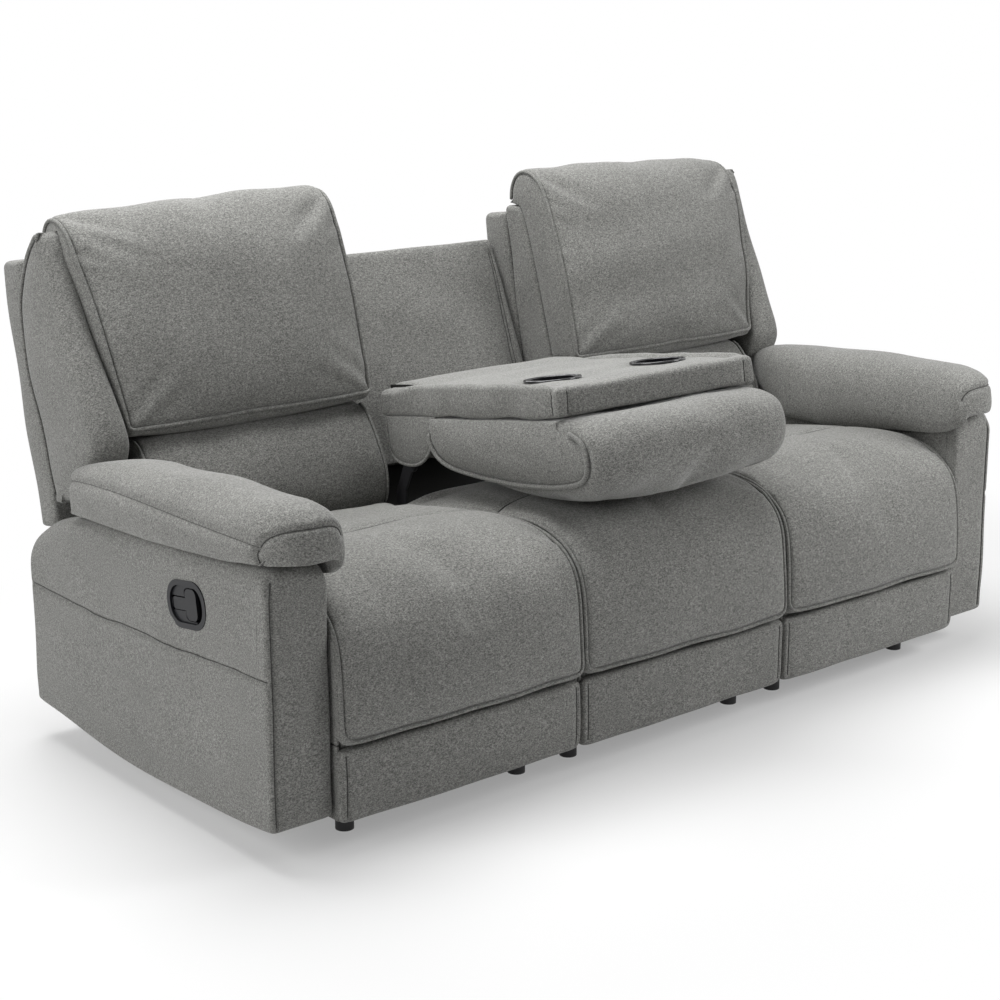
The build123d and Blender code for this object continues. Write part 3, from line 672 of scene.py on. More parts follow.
def strap_web(name):
    """Woven elastic webbing: fine ribs across its length."""
    material, wire = new_finish(name)
    sockets = {"Vector": object_place(wire), "Scale": 90.0, "Distortion": 0.5}
    rib = wire.node("ShaderNodeTexWave", {"bands_direction": "Y"}, sockets)
    tint = ramp(wire, rib, [(0.2, (0.02, 0.02, 0.02)), (0.8, (0.09, 0.09, 0.085))])
    shade(wire, {"Base Color": tint, "Roughness": 0.8 - rib * 0.1, "Normal": relief(wire, rib, 0.3, 0.001)})
    return material


def lining_cloth(name):
    """Thin black spun cloth: fine crossed fibres, no shine."""
    material, wire = new_finish(name)
    fibre = noise(wire, object_place(wire), 520.0, 3.0, 0.6)
    tint = mix(wire, fibre, (0.004, 0.004, 0.004, 1.0), (0.016, 0.016, 0.015, 1.0))
    shade(wire, {"Base Color": tint, "Roughness": 0.96 - fibre * 0.08, "Normal": relief(wire, fibre, 0.25, 0.0006),
                 "Specular IOR Level": 0.1})
    return material


finishes["frame_wood"] = plain_wood("pine_rails")
finishes["webbing"] = strap_web("seat_webbing")
lining = lining_cloth("black_lining")
print("finishes so far", len(bpy.data.materials))

# %% [markdown]
# Every solid part takes the finish of its slot. Three boards that show between cushions are wrapped in the
# cover cloth, as an upholsterer would do it.

# %% Dress the solid parts
wrapped = ("left_footrest_board", "right_footrest_board", "middle_seat_frame")
slots = {part["node"]: part["material_slot"] for part in frame["record"]["subparts"]}
for node_name, solid in frame["nodes"].items():
    solid.data.materials.clear()
    solid.data.materials.append(cover if node_name in wrapped else finishes[slots[node_name]])
print("dressed", len(frame["nodes"]), "solid parts")

# %% [markdown]
# Most new pieces are one of three kinds: a padded cover, a piping cord or a line of painted seam shade, thin dark
# tubes in the seam valleys. Each kind takes the fabric slot and rides on one body, so three short functions finish
# them.


def covered(name, mesh, fill, body, *stands_for):
    """A padded piece in the cover cloth: it rides on a body and stands for nodes of the frame."""
    made = piece(name, mesh, cover)
    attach(made, body)
    if stands_for:
        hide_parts(*stands_for)
    print("  ", name, len(mesh.polygons), "faces")


def corded(name, cords, body):
    """Piping cords that ride on a body."""
    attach(piece(name, mesh_of(*cords), piping), body)


def seam_shade_piece(name, shade_tubes, body):
    """Thin dark tubes of painted seam shade that ride on a body."""
    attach(piece(name, mesh_of(*shade_tubes), painted_seam_shade), body)


# %% [markdown]
# ## Seats and waterfalls
# A seat cover runs from the back over a rounded nose and down the front as a waterfall to a piped hem. On the
# end seats the waterfall is also the footrest pad, so the whole cover is one mesh over the
# footrest hinge. Two separate cushions would leave a slit there that the real sofa does not have.

# %% Seat section
seat_pitch, seat_half = 0.555, 0.2755
centres = {"left": -seat_pitch, "middle": 0.0, "right": seat_pitch}
front_body = {"left": "left_footrest", "middle": "frame", "right": "right_footrest"}

seat_top = joined(
    soft_line([(116, 374), (118, 408), (104, 421), (-97, 454), (-278, 475), (-352, 468), (-398, 448)], 50),
    soft_line([(-398, 448), (-438, 417), (-457, 371), (-464, 290), (-467, 222), (-466, 203), (-452, 200)], 32))
seat_under = joined(soft_line([(110, 370), (98, 366), (-398, 366)], 50),
                    soft_line([(-398, 366), (-426, 374), (-439, 350), (-441, 300), (-441, 203)], 32))


def corner_lift(points, centre, corner):
    """Lift that rounds the lower corners: r * (1 - sqrt(1 - c^2)), c from 0 to 1 over the last r beside each end."""
    inside = (np.abs(points[:, 0] - centre) - (seat_half - corner)) / corner
    return corner * (1.0 - np.sqrt(1.0 - np.clip(inside, 0.0, 0.999) ** 2))


def hem_rows(block):
    """Point numbers of the piped edge: down one side of the waterfall, along the hem and up the other side."""
    nose, hem = 22, -3
    down, across, up = block.outer[2, nose:hem], block.outer[2:-2, hem], block.outer[-3, nose:hem]
    return np.r_[down, across[1:-1], up[::-1]]


seam_y, seam_z, seam_drop = -0.183, 0.474, 0.010


def seat_cover(name, centre):
    """The padded block of one seat, filled, its lower corners lifted into rounds, its cross seam pressed."""
    places = stations(centre - seat_half, centre + seat_half, 0.012, 0.0115)
    block = padded_block(seat_top, seat_under, places, rungs=4, radius=0.012, inner_radius=0.004, crown=0.010)
    swell(block, np.r_[block.held(), block.outer[:, -3:].ravel()], most=0.014)
    low = 1.0 - ease(0.200, 0.262, block.points[:, 2])
    block.points[:, 2] += corner_lift(block.points, centre, 0.022) * low
    mesh = finer(block)
    ruffle(mesh, wave=0.17, height=0.0022, seed=5 + int(centre * 10),
           mask=lambda p: np.maximum(ease(0.375, 0.41, p[:, 2]), ease(0.43, 0.46, -p[:, 1])))
    cords = piped(mesh, [hem_rows(block)])
    across = np.linspace(-1.0, 1.0, 60)
    height = seam_z - seam_drop * across ** 6
    seam = np.stack([centre + across * (seat_half - 0.012), np.full(60, seam_y), height], 1)
    shade_tubes = sewn(mesh, [seam], depth=0.006, width=0.011, radius=0.0019)
    made = piece(name, mesh, cover)
    return made, cords, shade_tubes


print("a seat section has", len(seat_top), "outer and", len(seat_under), "inner points")

# %% [markdown]
# Seen from the side, a real front pad has a boxing: an upright strip of cover between its face and its rear
# board. Two thin strips behind each front do the same and close the view into the seat when a footrest swings
# out. They are padded blocks too, so that their edges are soft.

# %% Boxing strips
def boxing(centre, low, high):
    """The two upright side strips behind a front pad, each 6 mm thick and 42 mm deep."""
    front, rear = soft_line([(-444, low), (-445, high)], 24), soft_line([(-402, low), (-402, high)], 24)
    strips = []
    for way in (-1.0, 1.0):
        ends = sorted((centre + way * (seat_half - 0.0065), centre + way * (seat_half - 0.0005)))
        block = padded_block(front, rear, stations(*ends, 0.002, 0.001), rungs=6, radius=0.002, inner_radius=0.002)
        strips.append((block.points, block.faces))
    return mesh_of(*several(strips))


for side, centre in centres.items():
    covered(f"{side}_front_boxing", boxing(centre, 202, 388), 0.9, front_body[side])
print("boxing behind three fronts")

# %% [markdown]
# The cover and its piping are made once for each seat. In the middle they simply ride on the frame. At the ends
# their place is baked into the mesh and they ride on no body.

# %% Seat covers
for side, centre in centres.items():
    made, cords, shade_tubes = seat_cover(f"{side}_seat_cover", centre)
    welt = piece(f"{side}_seat_piping", mesh_of(*cords), piping)
    seam_shade_piece(f"{side}_seat_cross_seam_shade", shade_tubes, "frame")
    if side == "middle":
        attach(made, "frame")
        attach(welt, "frame")
        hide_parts("middle_seat_cushion", "middle_front_pad")
    else:
        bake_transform(made)
        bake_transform(welt)
        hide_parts(f"{side}_seat_cushion", f"{side}_footrest_pad")
    print(made.name, len(made.data.polygons), "faces")

# %% [markdown]
# Below each waterfall hangs a lower panel: a thin padded board. On the end seats it swings out with the
# footrest. It is a padded block with little depth.

# %% Lower panels
panel_face = soft_line([(-443, 193), (-455, 192), (-459, 184), (-460, 132), (-459, 72), (-456, 60), (-446, 56)], 26)
panel_rear = soft_line([(-440.5, 193), (-440.5, 56)], 26)
panel_node = {"left": "left_footrest_panel", "middle": "middle_front_panel", "right": "right_footrest_panel"}
for side, centre in centres.items():
    places = stations(centre - seat_half, centre + seat_half, 0.010)
    block = padded_block(panel_face, panel_rear, places, rungs=3, radius=0.010, inner_radius=0.002, crown=0.004)
    low = 1.0 - ease(0.062, 0.100, block.points[:, 2])
    block.points[:, 2] += low * corner_lift(block.points, centre, 0.018)
    mesh = finer(block)
    ruffle(mesh, wave=0.14, height=0.0012, seed=40)
    upright = np.column_stack([np.zeros(30), np.full(30, -0.463), np.linspace(0.070, 0.184, 30)])
    edges = [upright + [centre + way * (seat_half - 0.013), 0.0, 0.0] for way in (-1, 1)]
    seam_shade_piece(f"{side}_lower_panel_seam_shade", sewn(mesh, edges, depth=0.003, width=0.006), front_body[side])
    covered(f"{side}_lower_boxing", boxing(centre, 62, 200), 0.9, front_body[side])
    covered(f"{side}_lower_panel_cover", mesh, 0.9, front_body[side], panel_node[side])
print("three lower panels")

# %% [markdown]
# ## Arms
# The release lever sits in an oval recess in the arm's side. Its outlines are drawn flat, to the front and up
# from the lever's pivot, and then turned to its tilt. A cutter for the recess is a closed drum between two
# equal rings. Holes in covers are cut with it, because their edges lie hidden under a bezel or a lip.

# %% Lever outlines and cutting
lever_at, lever_tilt = (-0.195, 0.419), radians(8.0)


def lever_flat(points):
    """Lever coordinates in millimetres, to the front and up, turned to the tilt and put in place, in metres."""
    u, v = np.asarray(points, float).T * MM
    return np.stack([lever_at[0] - u * cos(lever_tilt) + v * sin(lever_tilt),
                     lever_at[1] + u * sin(lever_tilt) + v * cos(lever_tilt)], 1)


def oval(half_long, half_high):
    """A rounded bar outline at the lever: |u/a|^3 + |v/b|^3 = 1."""
    turn = np.linspace(0, 2 * np.pi, 64, endpoint=False)
    u, v = (np.sign(part) * np.abs(part) ** (2 / 3) for part in (np.cos(turn), np.sin(turn)))
    return lever_flat(np.stack([-half_long * u, half_high * v], 1))


def drum(first, second):
    """A closed shape between two rings of as many points: quads round the wall, strips of quads over both ends."""
    sides = len(first)
    points = np.vstack([first, second])
    k, half = np.arange(sides), np.arange(sides // 2 - 1)
    wall = np.stack([k, (k + 1) % sides, sides + (k + 1) % sides, sides + k], 1)
    lid = np.stack([half, half + 1, sides - 2 - half, sides - 1 - half], 1)
    return points, outward(points, np.vstack([wall, lid[:, ::-1], lid + sides]))


def cut_out(mesh, cutter_points, cutter_faces):
    """The mesh less a closed cutter."""
    body, knife = trial_of(mesh), trial_of(mesh_of(cutter_points, cutter_faces))
    bite = body.modifiers.new("bite", "BOOLEAN")
    bite.operation, bite.solver, bite.object = "DIFFERENCE", "EXACT", knife
    result = applied(body)
    bpy.data.objects.remove(knife)
    return result


print("the recess outline has", len(oval(58.5, 38.5)), "points")

# %% [markdown]
# A raised guard runs round the rear of the lever, so that the finger pull is not caught by accident. It is a
# padded block with hard edges: its outer and inner lines are mirrored about the lever's middle line.

# %% Lever guards
def guard_lines():
    """Outer and inner edge of the guard, from the top front end round the rear to the bottom front end."""
    turn = np.linspace(np.pi / 2, np.pi, 20)
    arc = np.column_stack([-22.9 + 29.8 * np.cos(turn), 2.9 + 29.8 * np.sin(turn)])
    head = soft([(26, 29.4), (-8, 29.4), (-8, 12.6)])
    outer = [even([(26, 32.7), (-10, 32.7)], 14), even([(-10, 32.7), (-22.9, 32.7)], 10), arc,
             even([arc[-1], (-52.7, 0)], 8)]
    inner = [even(head[:len(head) // 2], 14), even(head[len(head) // 2 - 1:], 10),
             even([(-8, 12.6), (-50.6, 12.6)], 20), even([(-50.6, 12.6), (-50.6, 0)], 8)]
    lines = []
    for upper, *parts in (outer, inner):
        for part in parts:
            upper = joined(upper, part)
        lines.append(lever_flat(joined(upper, (upper * [1.0, -1.0])[::-1])))
    return lines


for side, sign in SIDES:
    places = side_stations(sign, 0.9532, 0.9598, 0.0007, 0.002)
    block = padded_block(*guard_lines(), places, rungs=3, radius=0.0007, inner_radius=0.0007)
    mesh = mesh_of(block.points, block.faces)
    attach(piece(f"{side}_lever_guard", mesh, finishes["charcoal_plastic"]), "frame")
print("two lever guards")

# %% [markdown]
# The arm is a wooden box in a fitted cover: flat sides with a long seam that sags a little, soft upright
# edges and a rounded rear shoulder. The section is the side view itself, a ladder from the top line to the
# hem, swept across the arm's width.

# %% Arm covers
arm_in, arm_out = 0.8335, 0.9600
arm_crest = soft_line([(-440, 486), (-439, 522), (-418, 535), (171, 496), (290, 468), (366, 428), (398, 380),
                       (402, 350)], 96)
arm_hem = soft_line([(-440, 80), (-439, 73), (-428, 68), (-326, 58), (-189, 52), (-42, 46), (72, 46), (186, 54),
                     (304, 67), (390, 72), (401, 76), (402, 84)], 96)
side_seam = soft_line([(388, 317), (170, 316), (-63, 325), (-260, 334), (-436, 342)], 90)
y, z = arm_crest.T
shoulder = 0.010 + 0.022 * np.maximum(ease(0.488, 0.526, z), ease(-0.43, -0.36, y)) * (1.0 - ease(0.340, 0.400, y))
recess, recess_in, recess_out = oval(58.5, 38.5), 0.925, 0.990

for side, sign in SIDES:
    block = padded_block(arm_crest, arm_hem, side_stations(sign, arm_in, arm_out, 0.030, 0.010),
                         rungs=52, radius=shoulder, inner_radius=0.010, bulge=(0.004, 0.004))
    mesh = finer(block)
    ruffle(mesh, wave=0.20, height=0.0022, seed=11, mask=lambda p: ease(0.085, 0.14, p[:, 2]))
    long_seam = np.column_stack([np.full(90, sign * (arm_out + 0.003)), side_seam])
    upright = np.linspace(0.082, 0.514, 80)
    edge_seam = np.column_stack([np.full(80, sign * (arm_out - 0.012)), np.full(80, -0.441), upright])
    shade_tubes = sewn(mesh, [long_seam, edge_seam], depth=0.0055, width=0.0065)
    ends = sorted((sign * recess_in, sign * recess_out))
    cutter = drum(*[np.column_stack([np.full(len(recess), x), recess]) for x in ends])
    covered(f"{side}_arm_cover", cut_out(mesh, *cutter), 0.95, "frame",
            f"{side}_arm_outer_panel", f"{side}_arm_inner_panel", f"{side}_arm_front_panel")
    seam_shade_piece(f"{side}_arm_seam_shade", shade_tubes, "frame")
print("two arm covers")

# %% [markdown]
# The arm pillow is a bolster: boxed sides up to a seam, then a domed top that rises to a crest and falls to a
# pointed tip at the rear. Its sections change along the arm, so a stack of outlines is swept along Y. Each
# line of the pillow is given by its height, width or middle at ten places from the rear to the front.

# %% Sections of the arm pillow
pad_y = np.array([222, 196, 130, 40, -77, -200, -302, -390, -440, -474], float)
pad_crest = np.array([578, 588, 602, 612, 622, 629, 632, 632, 624, 606], float)
pad_seam = np.array([562, 567, 574, 579, 580, 578, 577, 577, 576, 574], float)
pad_base = np.array([494, 496, 503, 509.5, 517, 525, 531.5, 538, 540, 540], float)
pad_hang = np.array([494, 495, 498, 502, 508, 517, 526, 535, 538, 540], float)
pad_drop = np.array([494, 492, 474, 454, 456, 470, 482, 491, 502, 522], float)
pad_half = np.array([34, 50, 68, 79, 83, 83, 83, 82, 80, 76], float)
pad_centre = np.array([926, 911, 896, 888, 887, 887, 887, 887, 887, 887], float)
arm_wall, pad_rear, pad_front = 829.0, 0.222, -0.474


def pad_sections(places, sign):
    """Outlines (x, z) at each place: outer base, boxed side, seam, dome and the inner side that hangs beside the
    seat; and the underside, which follows the arm's top and then its inner wall."""
    y = places / MM
    order = np.argsort(pad_y)
    lines = (pad_crest, pad_seam, pad_base, pad_hang, pad_drop, pad_half, pad_centre)
    crest, seam, base, hang, drop, half, middle = (np.interp(y, pad_y[order], part[order]) for part in lines)
    drop = base + (drop - base) * (1.0 - ease(812.0, 834.0, middle - half))
    rise, tall = crest - seam, seam - hang
    across = [0.95, 1.02, 1.04, 1.0, 0.80, 0.36, -0.20, -0.72, -1.0, -1.06, -1.02, -0.90]
    height = [hang, hang + 0.15 * tall, hang + 0.62 * tall, seam, seam + 0.68 * rise, crest, crest,
              seam + 0.86 * rise, seam + 0.30 * rise, 0.5 * (seam + drop), drop + 10.0, drop]
    outline = np.stack([np.stack([middle + a * half, h], -1) for a, h in zip(across, height)], axis=1)
    wall = np.maximum(middle - half + 20.0, arm_wall)
    turns = [(middle + 0.85 * half, base), (middle + 0.3 * half, base), (wall + 14.0, base),
             (wall, base - 0.2 * (base - drop)), (wall - 3.0, drop + 3.0)]
    corner = np.stack([np.stack(turn, -1) for turn in turns], axis=1)
    at = np.linspace(0.0, 4.0, 12)
    first = np.minimum(at.astype(int), 3)
    under = corner[:, first] + (corner[:, first + 1] - corner[:, first]) * (at - first)[None, :, None]
    flip = np.array([sign, 1.0]) * MM
    return soft(outline, 2) * flip, soft(under, 2) * flip


def slant_front(block):
    """Draws the front end back on both sides of its middle, most at the outer corner, so it is rounded in plan."""
    middle, half = 0.887, 0.083
    u = (np.abs(block.points[:, 0]) - middle) / half
    back = 0.064 * np.clip(u, 0.0, 1.2) ** 1.6 + 0.016 * np.clip(-u, 0.0, 1.2) ** 2
    block.points[:, 1] += back * ease(0.330, -pad_front, -block.points[:, 1])


print("pillow sections at", len(pad_y), "places")

# %% [markdown]
# The pillow is filled by a cloth run like the seats. Its side seam is only a soft crease, while the front end is
# a sewn-in panel with seams round it.

# %% Arm pillows
outer_row, inner_row = 13, 34
for side, sign in SIDES:
    places = stations(pad_front, pad_rear, 0.014, 0.0125)
    block = padded_block(*pad_sections(places, sign), places, rungs=3, radius=0.014, inner_radius=0.002,
                         bulge=(0.004, 0.004), axis="y")
    slant_front(block)
    swell(block, block.held(), most=0.010)
    mesh = finer(block)
    ruffle(mesh, wave=0.16, height=0.003, seed=21 + int(sign), mask=lambda p: ease(0.545, 0.60, p[:, 2]))
    edge, front = points_of(mesh), block.ring[2]
    crease = even(edge[block.ring[2:-3, outer_row]], 80)
    seams = [even(edge[front[outer_row:inner_row + 1]], 80), even(edge[front[1:outer_row]], 80)]
    # the crease and the front seams get thin dark tubes of painted shade in their valleys
    shade_tubes = several([sewn(mesh, [crease], depth=0.0040, width=0.009, radius=0.0005),
                       sewn(mesh, seams, depth=0.0045, width=0.007)])
    seam_shade_piece(f"{side}_arm_pillow_seam_shade", shade_tubes, "frame")
    covered(f"{side}_arm_pillow", mesh, 0.7, "frame", f"{side}_arm_pad")
print("two arm pillows")

# %% [markdown]
# ## End backs
# Each end back has four soft layers: a padded slab at the rear, a rolled side body, a lumbar cushion and a
# head pillow that folds over the top. Every layer is a padded block, swept across the seat, and each follows
# the back when it reclines. The slab comes first: 64 mm thick, with a seam near each edge at the rear.

# %% Slabs
lean, to_front = np.array([0.1776, 0.9841]), np.array([-0.9841, 0.1776])
slab_low, slab_high = np.array([402.0, 421.0]), np.array([493.5, 930.0])
slab_rear = soft_line([slab_low + (-3, 4), slab_low + lean * 12, (424, 532), (459, 665), (487, 818), (499, 908),
                       (502, 927), slab_high + to_front * 4 + lean * 4], 60)
slab_face = soft_line([slab_low + to_front * 61 + (0, 4), slab_low + to_front * 64 + lean * 12,
                       slab_high + to_front * 64 - lean * 14, slab_high + to_front * 60], 60)
slab_middle, slab_half = 0.60125, 0.3268

for side, sign in SIDES:
    block = padded_block(slab_face, slab_rear, side_stations(sign, 0.2745, 0.928, 0.014),
                         rungs=6, radius=0.010, inner_radius=0.010, bulge=(0.003, 0.003))
    mesh = finer(block)
    ruffle(mesh, wave=0.2, height=0.002, seed=31)
    mid = sign * slab_middle
    edges = [mid + way * (slab_half - 0.020) for way in (-1, 1)]
    seams = [np.column_stack([np.full(70, edge), even(slab_rear[3:-2], 70)]) for edge in edges]
    level = np.linspace(mid - slab_half + 0.022, mid + slab_half - 0.022, 60)
    seams.append(np.column_stack([level, np.tile(slab_rear[5], (60, 1))]))
    seam_shade_piece(f"{side}_slab_seam_shade", sewn(mesh, seams, depth=0.0025, width=0.005, radius=0.001), f"{side}_back")
    covered(f"{side}_back_slab", mesh, 0.95, f"{side}_back", f"{side}_back_frame")
print("two slabs")

# %% [markdown]
# A flap of cover hangs from the slab's lower edge and hides the hinge behind the seat. On the real sofa it is
# cloth that is held along one edge, so it is a thin block with a wavy face that moves with the back.

# %% Back flaps
flap_face = soft_line([(386, 434), (388, 420), (389, 400), (389, 375)], 14)
flap_rear = flap_face + np.array([0.005, 0.0])
for side, sign in SIDES:
    places = side_stations(sign, 0.2755, 0.826, 0.002)
    mesh = finer(padded_block(flap_face, flap_rear, places, rungs=2, radius=0.002, inner_radius=0.002))
    ruffle(mesh, wave=0.11, height=0.003, seed=37)
    covered(f"{side}_back_flap", mesh, 0.9, f"{side}_back")
print("two back flaps")

# %% [markdown]
# The side body is the foam core of the back. Where it passes over the arm it steps back to a narrow wing, so its
# section changes along the sweep: two drawn sections are mixed by an S curve.

# %% Side bodies
core_face = soft_line([(213, 436), (222, 466), (366, 928), (375, 950), (386, 956)], 60)
wing_face = soft_line([(304, 486), (304, 505), (366, 928), (375, 950), (386, 956)], 60)
core_rear = soft_line([(256, 436), (347, 488), (425, 925), (431, 950), (424, 956)], 60)
wing_rear = soft_line([(346, 486), (350, 505), (425, 925), (431, 950), (424, 956)], 60)

for side, sign in SIDES:
    places = side_stations(sign, 0.278, 0.912, 0.012)
    share = ease(0.800, 0.838, np.abs(places))[:, None, None]
    face = core_face * (1 - share) + wing_face * share
    rear = core_rear * (1 - share) + wing_rear * share
    mesh = finer(padded_block(face, rear, places, rungs=8, radius=0.012, inner_radius=0.006))
    ruffle(mesh, wave=0.16, height=0.002, seed=33)
    covered(f"{side}_back_side_body", mesh, 0.8, f"{side}_back", f"{side}_back_body")
print("two side bodies")

# %% [markdown]
# A rolled bolster frames each back on its outer side, with a welt round its end. Its section is the side view of
# the back. It is swept over only 5 cm and leans inwards towards the bottom, where it meets the arm pillow.

# %% Bolsters
roll_face = soft_line([(306, 489), (240, 493), (213, 520), (188, 572), (166, 614), (172, 654), (190, 696), (226, 768),
                       (268, 854), (304, 934), (320, 978), (332, 1000), (342, 1004)], 70)
roll_rear = soft_line([(330, 489), (344, 524), (388, 640), (424, 772), (434, 850), (424, 894), (390, 958),
                       (352, 1002)], 70)
roll_in, roll_out = 0.880, 0.930

for side, sign in SIDES:
    block = padded_block(roll_face, roll_rear, side_stations(sign, roll_in, roll_out, 0.022, 0.008),
                         rungs=16, radius=0.022, inner_radius=0.004, bulge=(0.010, 0.0) if sign < 0 else (0.0, 0.010))
    inward = np.clip((roll_out - np.abs(block.points[:, 0])) / 0.050, 0.0, 1.0)
    block.points[:, 0] -= sign * inward * np.interp(block.points[:, 2], (0.560, 0.960), (0.040, 0.0))
    mesh = finer(block)
    ruffle(mesh, wave=0.14, height=0.003, seed=35)
    end = block.ends[0] if sign < 0 else block.ends[1]
    corded(f"{side}_bolster_piping", piped(mesh, [np.r_[end[2:, -1], end[-1, ::-1][1:-1]]]), f"{side}_back")
    covered(f"{side}_back_bolster", mesh, 0.8, f"{side}_back")
print("two bolsters")

# %% [markdown]
# The head pillow hangs over the top of the back like a saddle bag, piped along both sides and its lower edge. It
# is filled by a cloth run. Its outer side narrows downwards, its inner side keeps clear of the folded-up
# console, and its top slopes a little, because real fill settles.

# %% Head pillows
pillow_face = soft_line([(262, 626), (206, 622), (184, 633), (186, 662), (210, 752), (234, 840), (262, 910),
                         (293, 986), (322, 1026), (368, 1044), (404, 1030), (421, 992), (418, 962)], 78)
pillow_rear = soft_line([(268, 628), (369, 955), (404, 961)], 78)
pillow_in, pillow_middle, pillow_out, console_side = 0.281, 0.583, 0.885, 0.2768
hem_row = 10

for side, sign in SIDES:
    block = padded_block(pillow_face, pillow_rear, side_stations(sign, pillow_in, pillow_out, 0.012),
                         rungs=8, radius=0.012, inner_radius=0.004, crown=0.014, bulge=(0.007, 0.007))
    swell(block, np.r_[block.held((0, 1, -2, -1)), block.ring[:, :4].ravel()], most=0.020)
    limit = np.interp(block.points[:, 2], (0.600, 0.960), (0.840, pillow_out))
    block.points[:, 0] -= sign * ease(0.55, pillow_out, np.abs(block.points[:, 0])) * (pillow_out - limit)
    block.points[:, 0] = sign * np.maximum(sign * block.points[:, 0], console_side)
    slope = (pillow_middle - np.abs(block.points[:, 0])) / 0.30
    block.points[:, 2] += ease(0.90, 1.02, block.points[:, 2]) * (0.008 * slope - 0.006)
    mesh = finer(block)
    ruffle(mesh, wave=0.15, height=0.004, seed=51 + int(sign),
           mask=lambda p: ease(0.63, 0.68, p[:, 2]) * ease(0.280, 0.310, np.abs(p[:, 0])))
    rows = np.r_[block.outer[2, hem_row:-1][::-1], block.outer[3:-3, hem_row], block.outer[-3, hem_row:-1]]
    corded(f"{side}_pillow_piping", piped(mesh, [rows]), f"{side}_back")
    covered(f"{side}_head_pillow", mesh, 0.75, f"{side}_back", f"{side}_back_pillow")
print("two head pillows")

# %% [markdown]
# Below the head pillow sits the lumbar cushion, a plump roll that fills the gap to the seat. It is made like the
# pillow and piped along both ends.

# %% Lumbar cushions
lumbar_face = soft_line([(200, 408), (146, 406), (126, 424), (125, 462), (135, 506), (160, 560), (192, 600),
                         (214, 614), (240, 614)], 34)
lumbar_rear = soft_line([(206, 412), (212, 438), (266, 613)], 34)
for side, sign in SIDES:
    block = padded_block(lumbar_face, lumbar_rear, side_stations(sign, 0.282, 0.825, 0.016),
                         rungs=5, radius=0.016, inner_radius=0.004, crown=0.008, bulge=(0.003, 0.003))
    swell(block, block.held(), most=0.012)
    mesh = finer(block)
    ruffle(mesh, wave=0.15, height=0.003, seed=61 + int(sign))
    rows = [block.outer[3, 2:-2], block.outer[-4, 2:-2]]
    corded(f"{side}_lumbar_piping", piped(mesh, rows, radius=0.0034), f"{side}_back")
    covered(f"{side}_lumbar_cushion", mesh, 0.7, f"{side}_back", f"{side}_back_lumbar")
print("two lumbar cushions")

# %% [markdown]
# ## Console
# The middle back folds down to a table. The table slopes, so it has its own coordinates in the side view: how far
# along its top from the rear edge, and how deep under it.

# %% Table coordinates
table_half = 0.2615
table_rear, table_slope = np.array([193.0, 645.0]), np.array([-555.0, 87.0])
table_run = float(np.hypot(*table_slope))
table_way = table_slope / table_run
table_down = np.array([-87.0, -555.0]) / table_run
cup_x, cup_along, cup_hole = 0.141, 405.0 / -table_way[0], 46.8


def table_point(along, deep):
    """A point of the side view in millimetres, so far along the table and so far under its top."""
    return table_rear + table_way * along + table_down * deep


def table_line(x, along, deep):
    """A line on the table as points in metres; x, along and deep are numbers or arrays of one length."""
    x, along, deep = np.broadcast_arrays(x, along, np.asarray(deep, float))
    return np.column_stack([x, table_point(along[:, None], deep[:, None]) * MM])


print("the table is", round(table_run), "mm long")

# %% [markdown]
# The top is a padded board with a raised roll along both sides, box pleats at the front corners and two round cup
# holes. The roll is a lift of the block's points, so the cover stays one cloth, and the holes are cut last.

# %% Console table
table_top = soft_line([table_point(1, 10), table_point(2, 1), table_point(12, 0), table_point(table_run - 14, 0),
                       table_point(table_run - 1, 3), table_point(table_run - 1, 14)], 60)
table_under = soft_line([table_point(3, 56), table_point(6, 60), table_point(table_run - 6, 60),
                         table_point(table_run - 2, 54)], 60)


def table_seams():
    """Seams inside both side rolls, and the box pleats on both sides of each front corner."""
    run, drop = np.linspace(4, table_run - 40, 70), np.linspace(8, 54, 30)
    lines = []
    for sign in (-1.0, 1.0):
        lines.append(table_line(sign * 0.2315, run, 0.0))
        lines.append(table_line(sign * 0.2635, table_run - 24, drop))
        lines.append(table_line(sign * 0.236, table_run, drop))
    return lines


def raise_rolls(block):
    """Lifts the side rolls by 6 mm: an S curve across each side, faded out at the front corners and under the top.
    Near the rear edge it is the other way round: the field between the rolls rises and the rolls sink."""
    flat = block.points[:, 1:] / MM - table_rear
    along, deep = flat @ table_way, flat @ table_down
    margin = table_half - np.abs(block.points[:, 0])
    roll, field = 1.0 - ease(0.017, 0.030, margin), ease(0.030, 0.046, margin)
    height, on_top = 0.006, 1.0 - ease(6, 22, deep)
    lift = height * roll * (1.0 - ease(table_run - 46, table_run - 20, along)) * on_top * ease(30, 150, along)
    lift += (height * field - height * roll) * (1.0 - ease(40, 130, along)) * on_top
    block.points[:, 1:] -= lift[:, None] * table_down


block = padded_block(table_top, table_under, stations(-table_half, table_half, 0.012, 0.010),
                     rungs=5, radius=0.012, inner_radius=0.008, bulge=(0.002, 0.002))
raise_rolls(block)
mesh = finer(block)
ruffle(mesh, wave=0.12, height=0.0025, seed=71)
seam_shade_piece("console_table_seam_shade", sewn(mesh, table_seams(), depth=0.004, width=0.006), "console")
turn = np.linspace(0, 2 * np.pi, 64, endpoint=False)
above_top, below_table = -20.0, 80.0
for x in (-cup_x, cup_x):
    across, along = x + cup_hole * MM * np.cos(turn), cup_along - cup_hole * np.sin(turn)
    mesh = cut_out(mesh, *drum(*[table_line(across, along, deep) for deep in (above_top, below_table)]))
covered("console_table_cover", mesh, 0.9, "console", "console_table", "console_board")
print("console table with two cup holes")

# %% [markdown]
# Two small things finish the table: a black gusset, a narrow wedge inside each side roll at the rear, and the
# rounded lips of the cups. The lip is a torus of two sizes, because a flat rim would not catch the light.

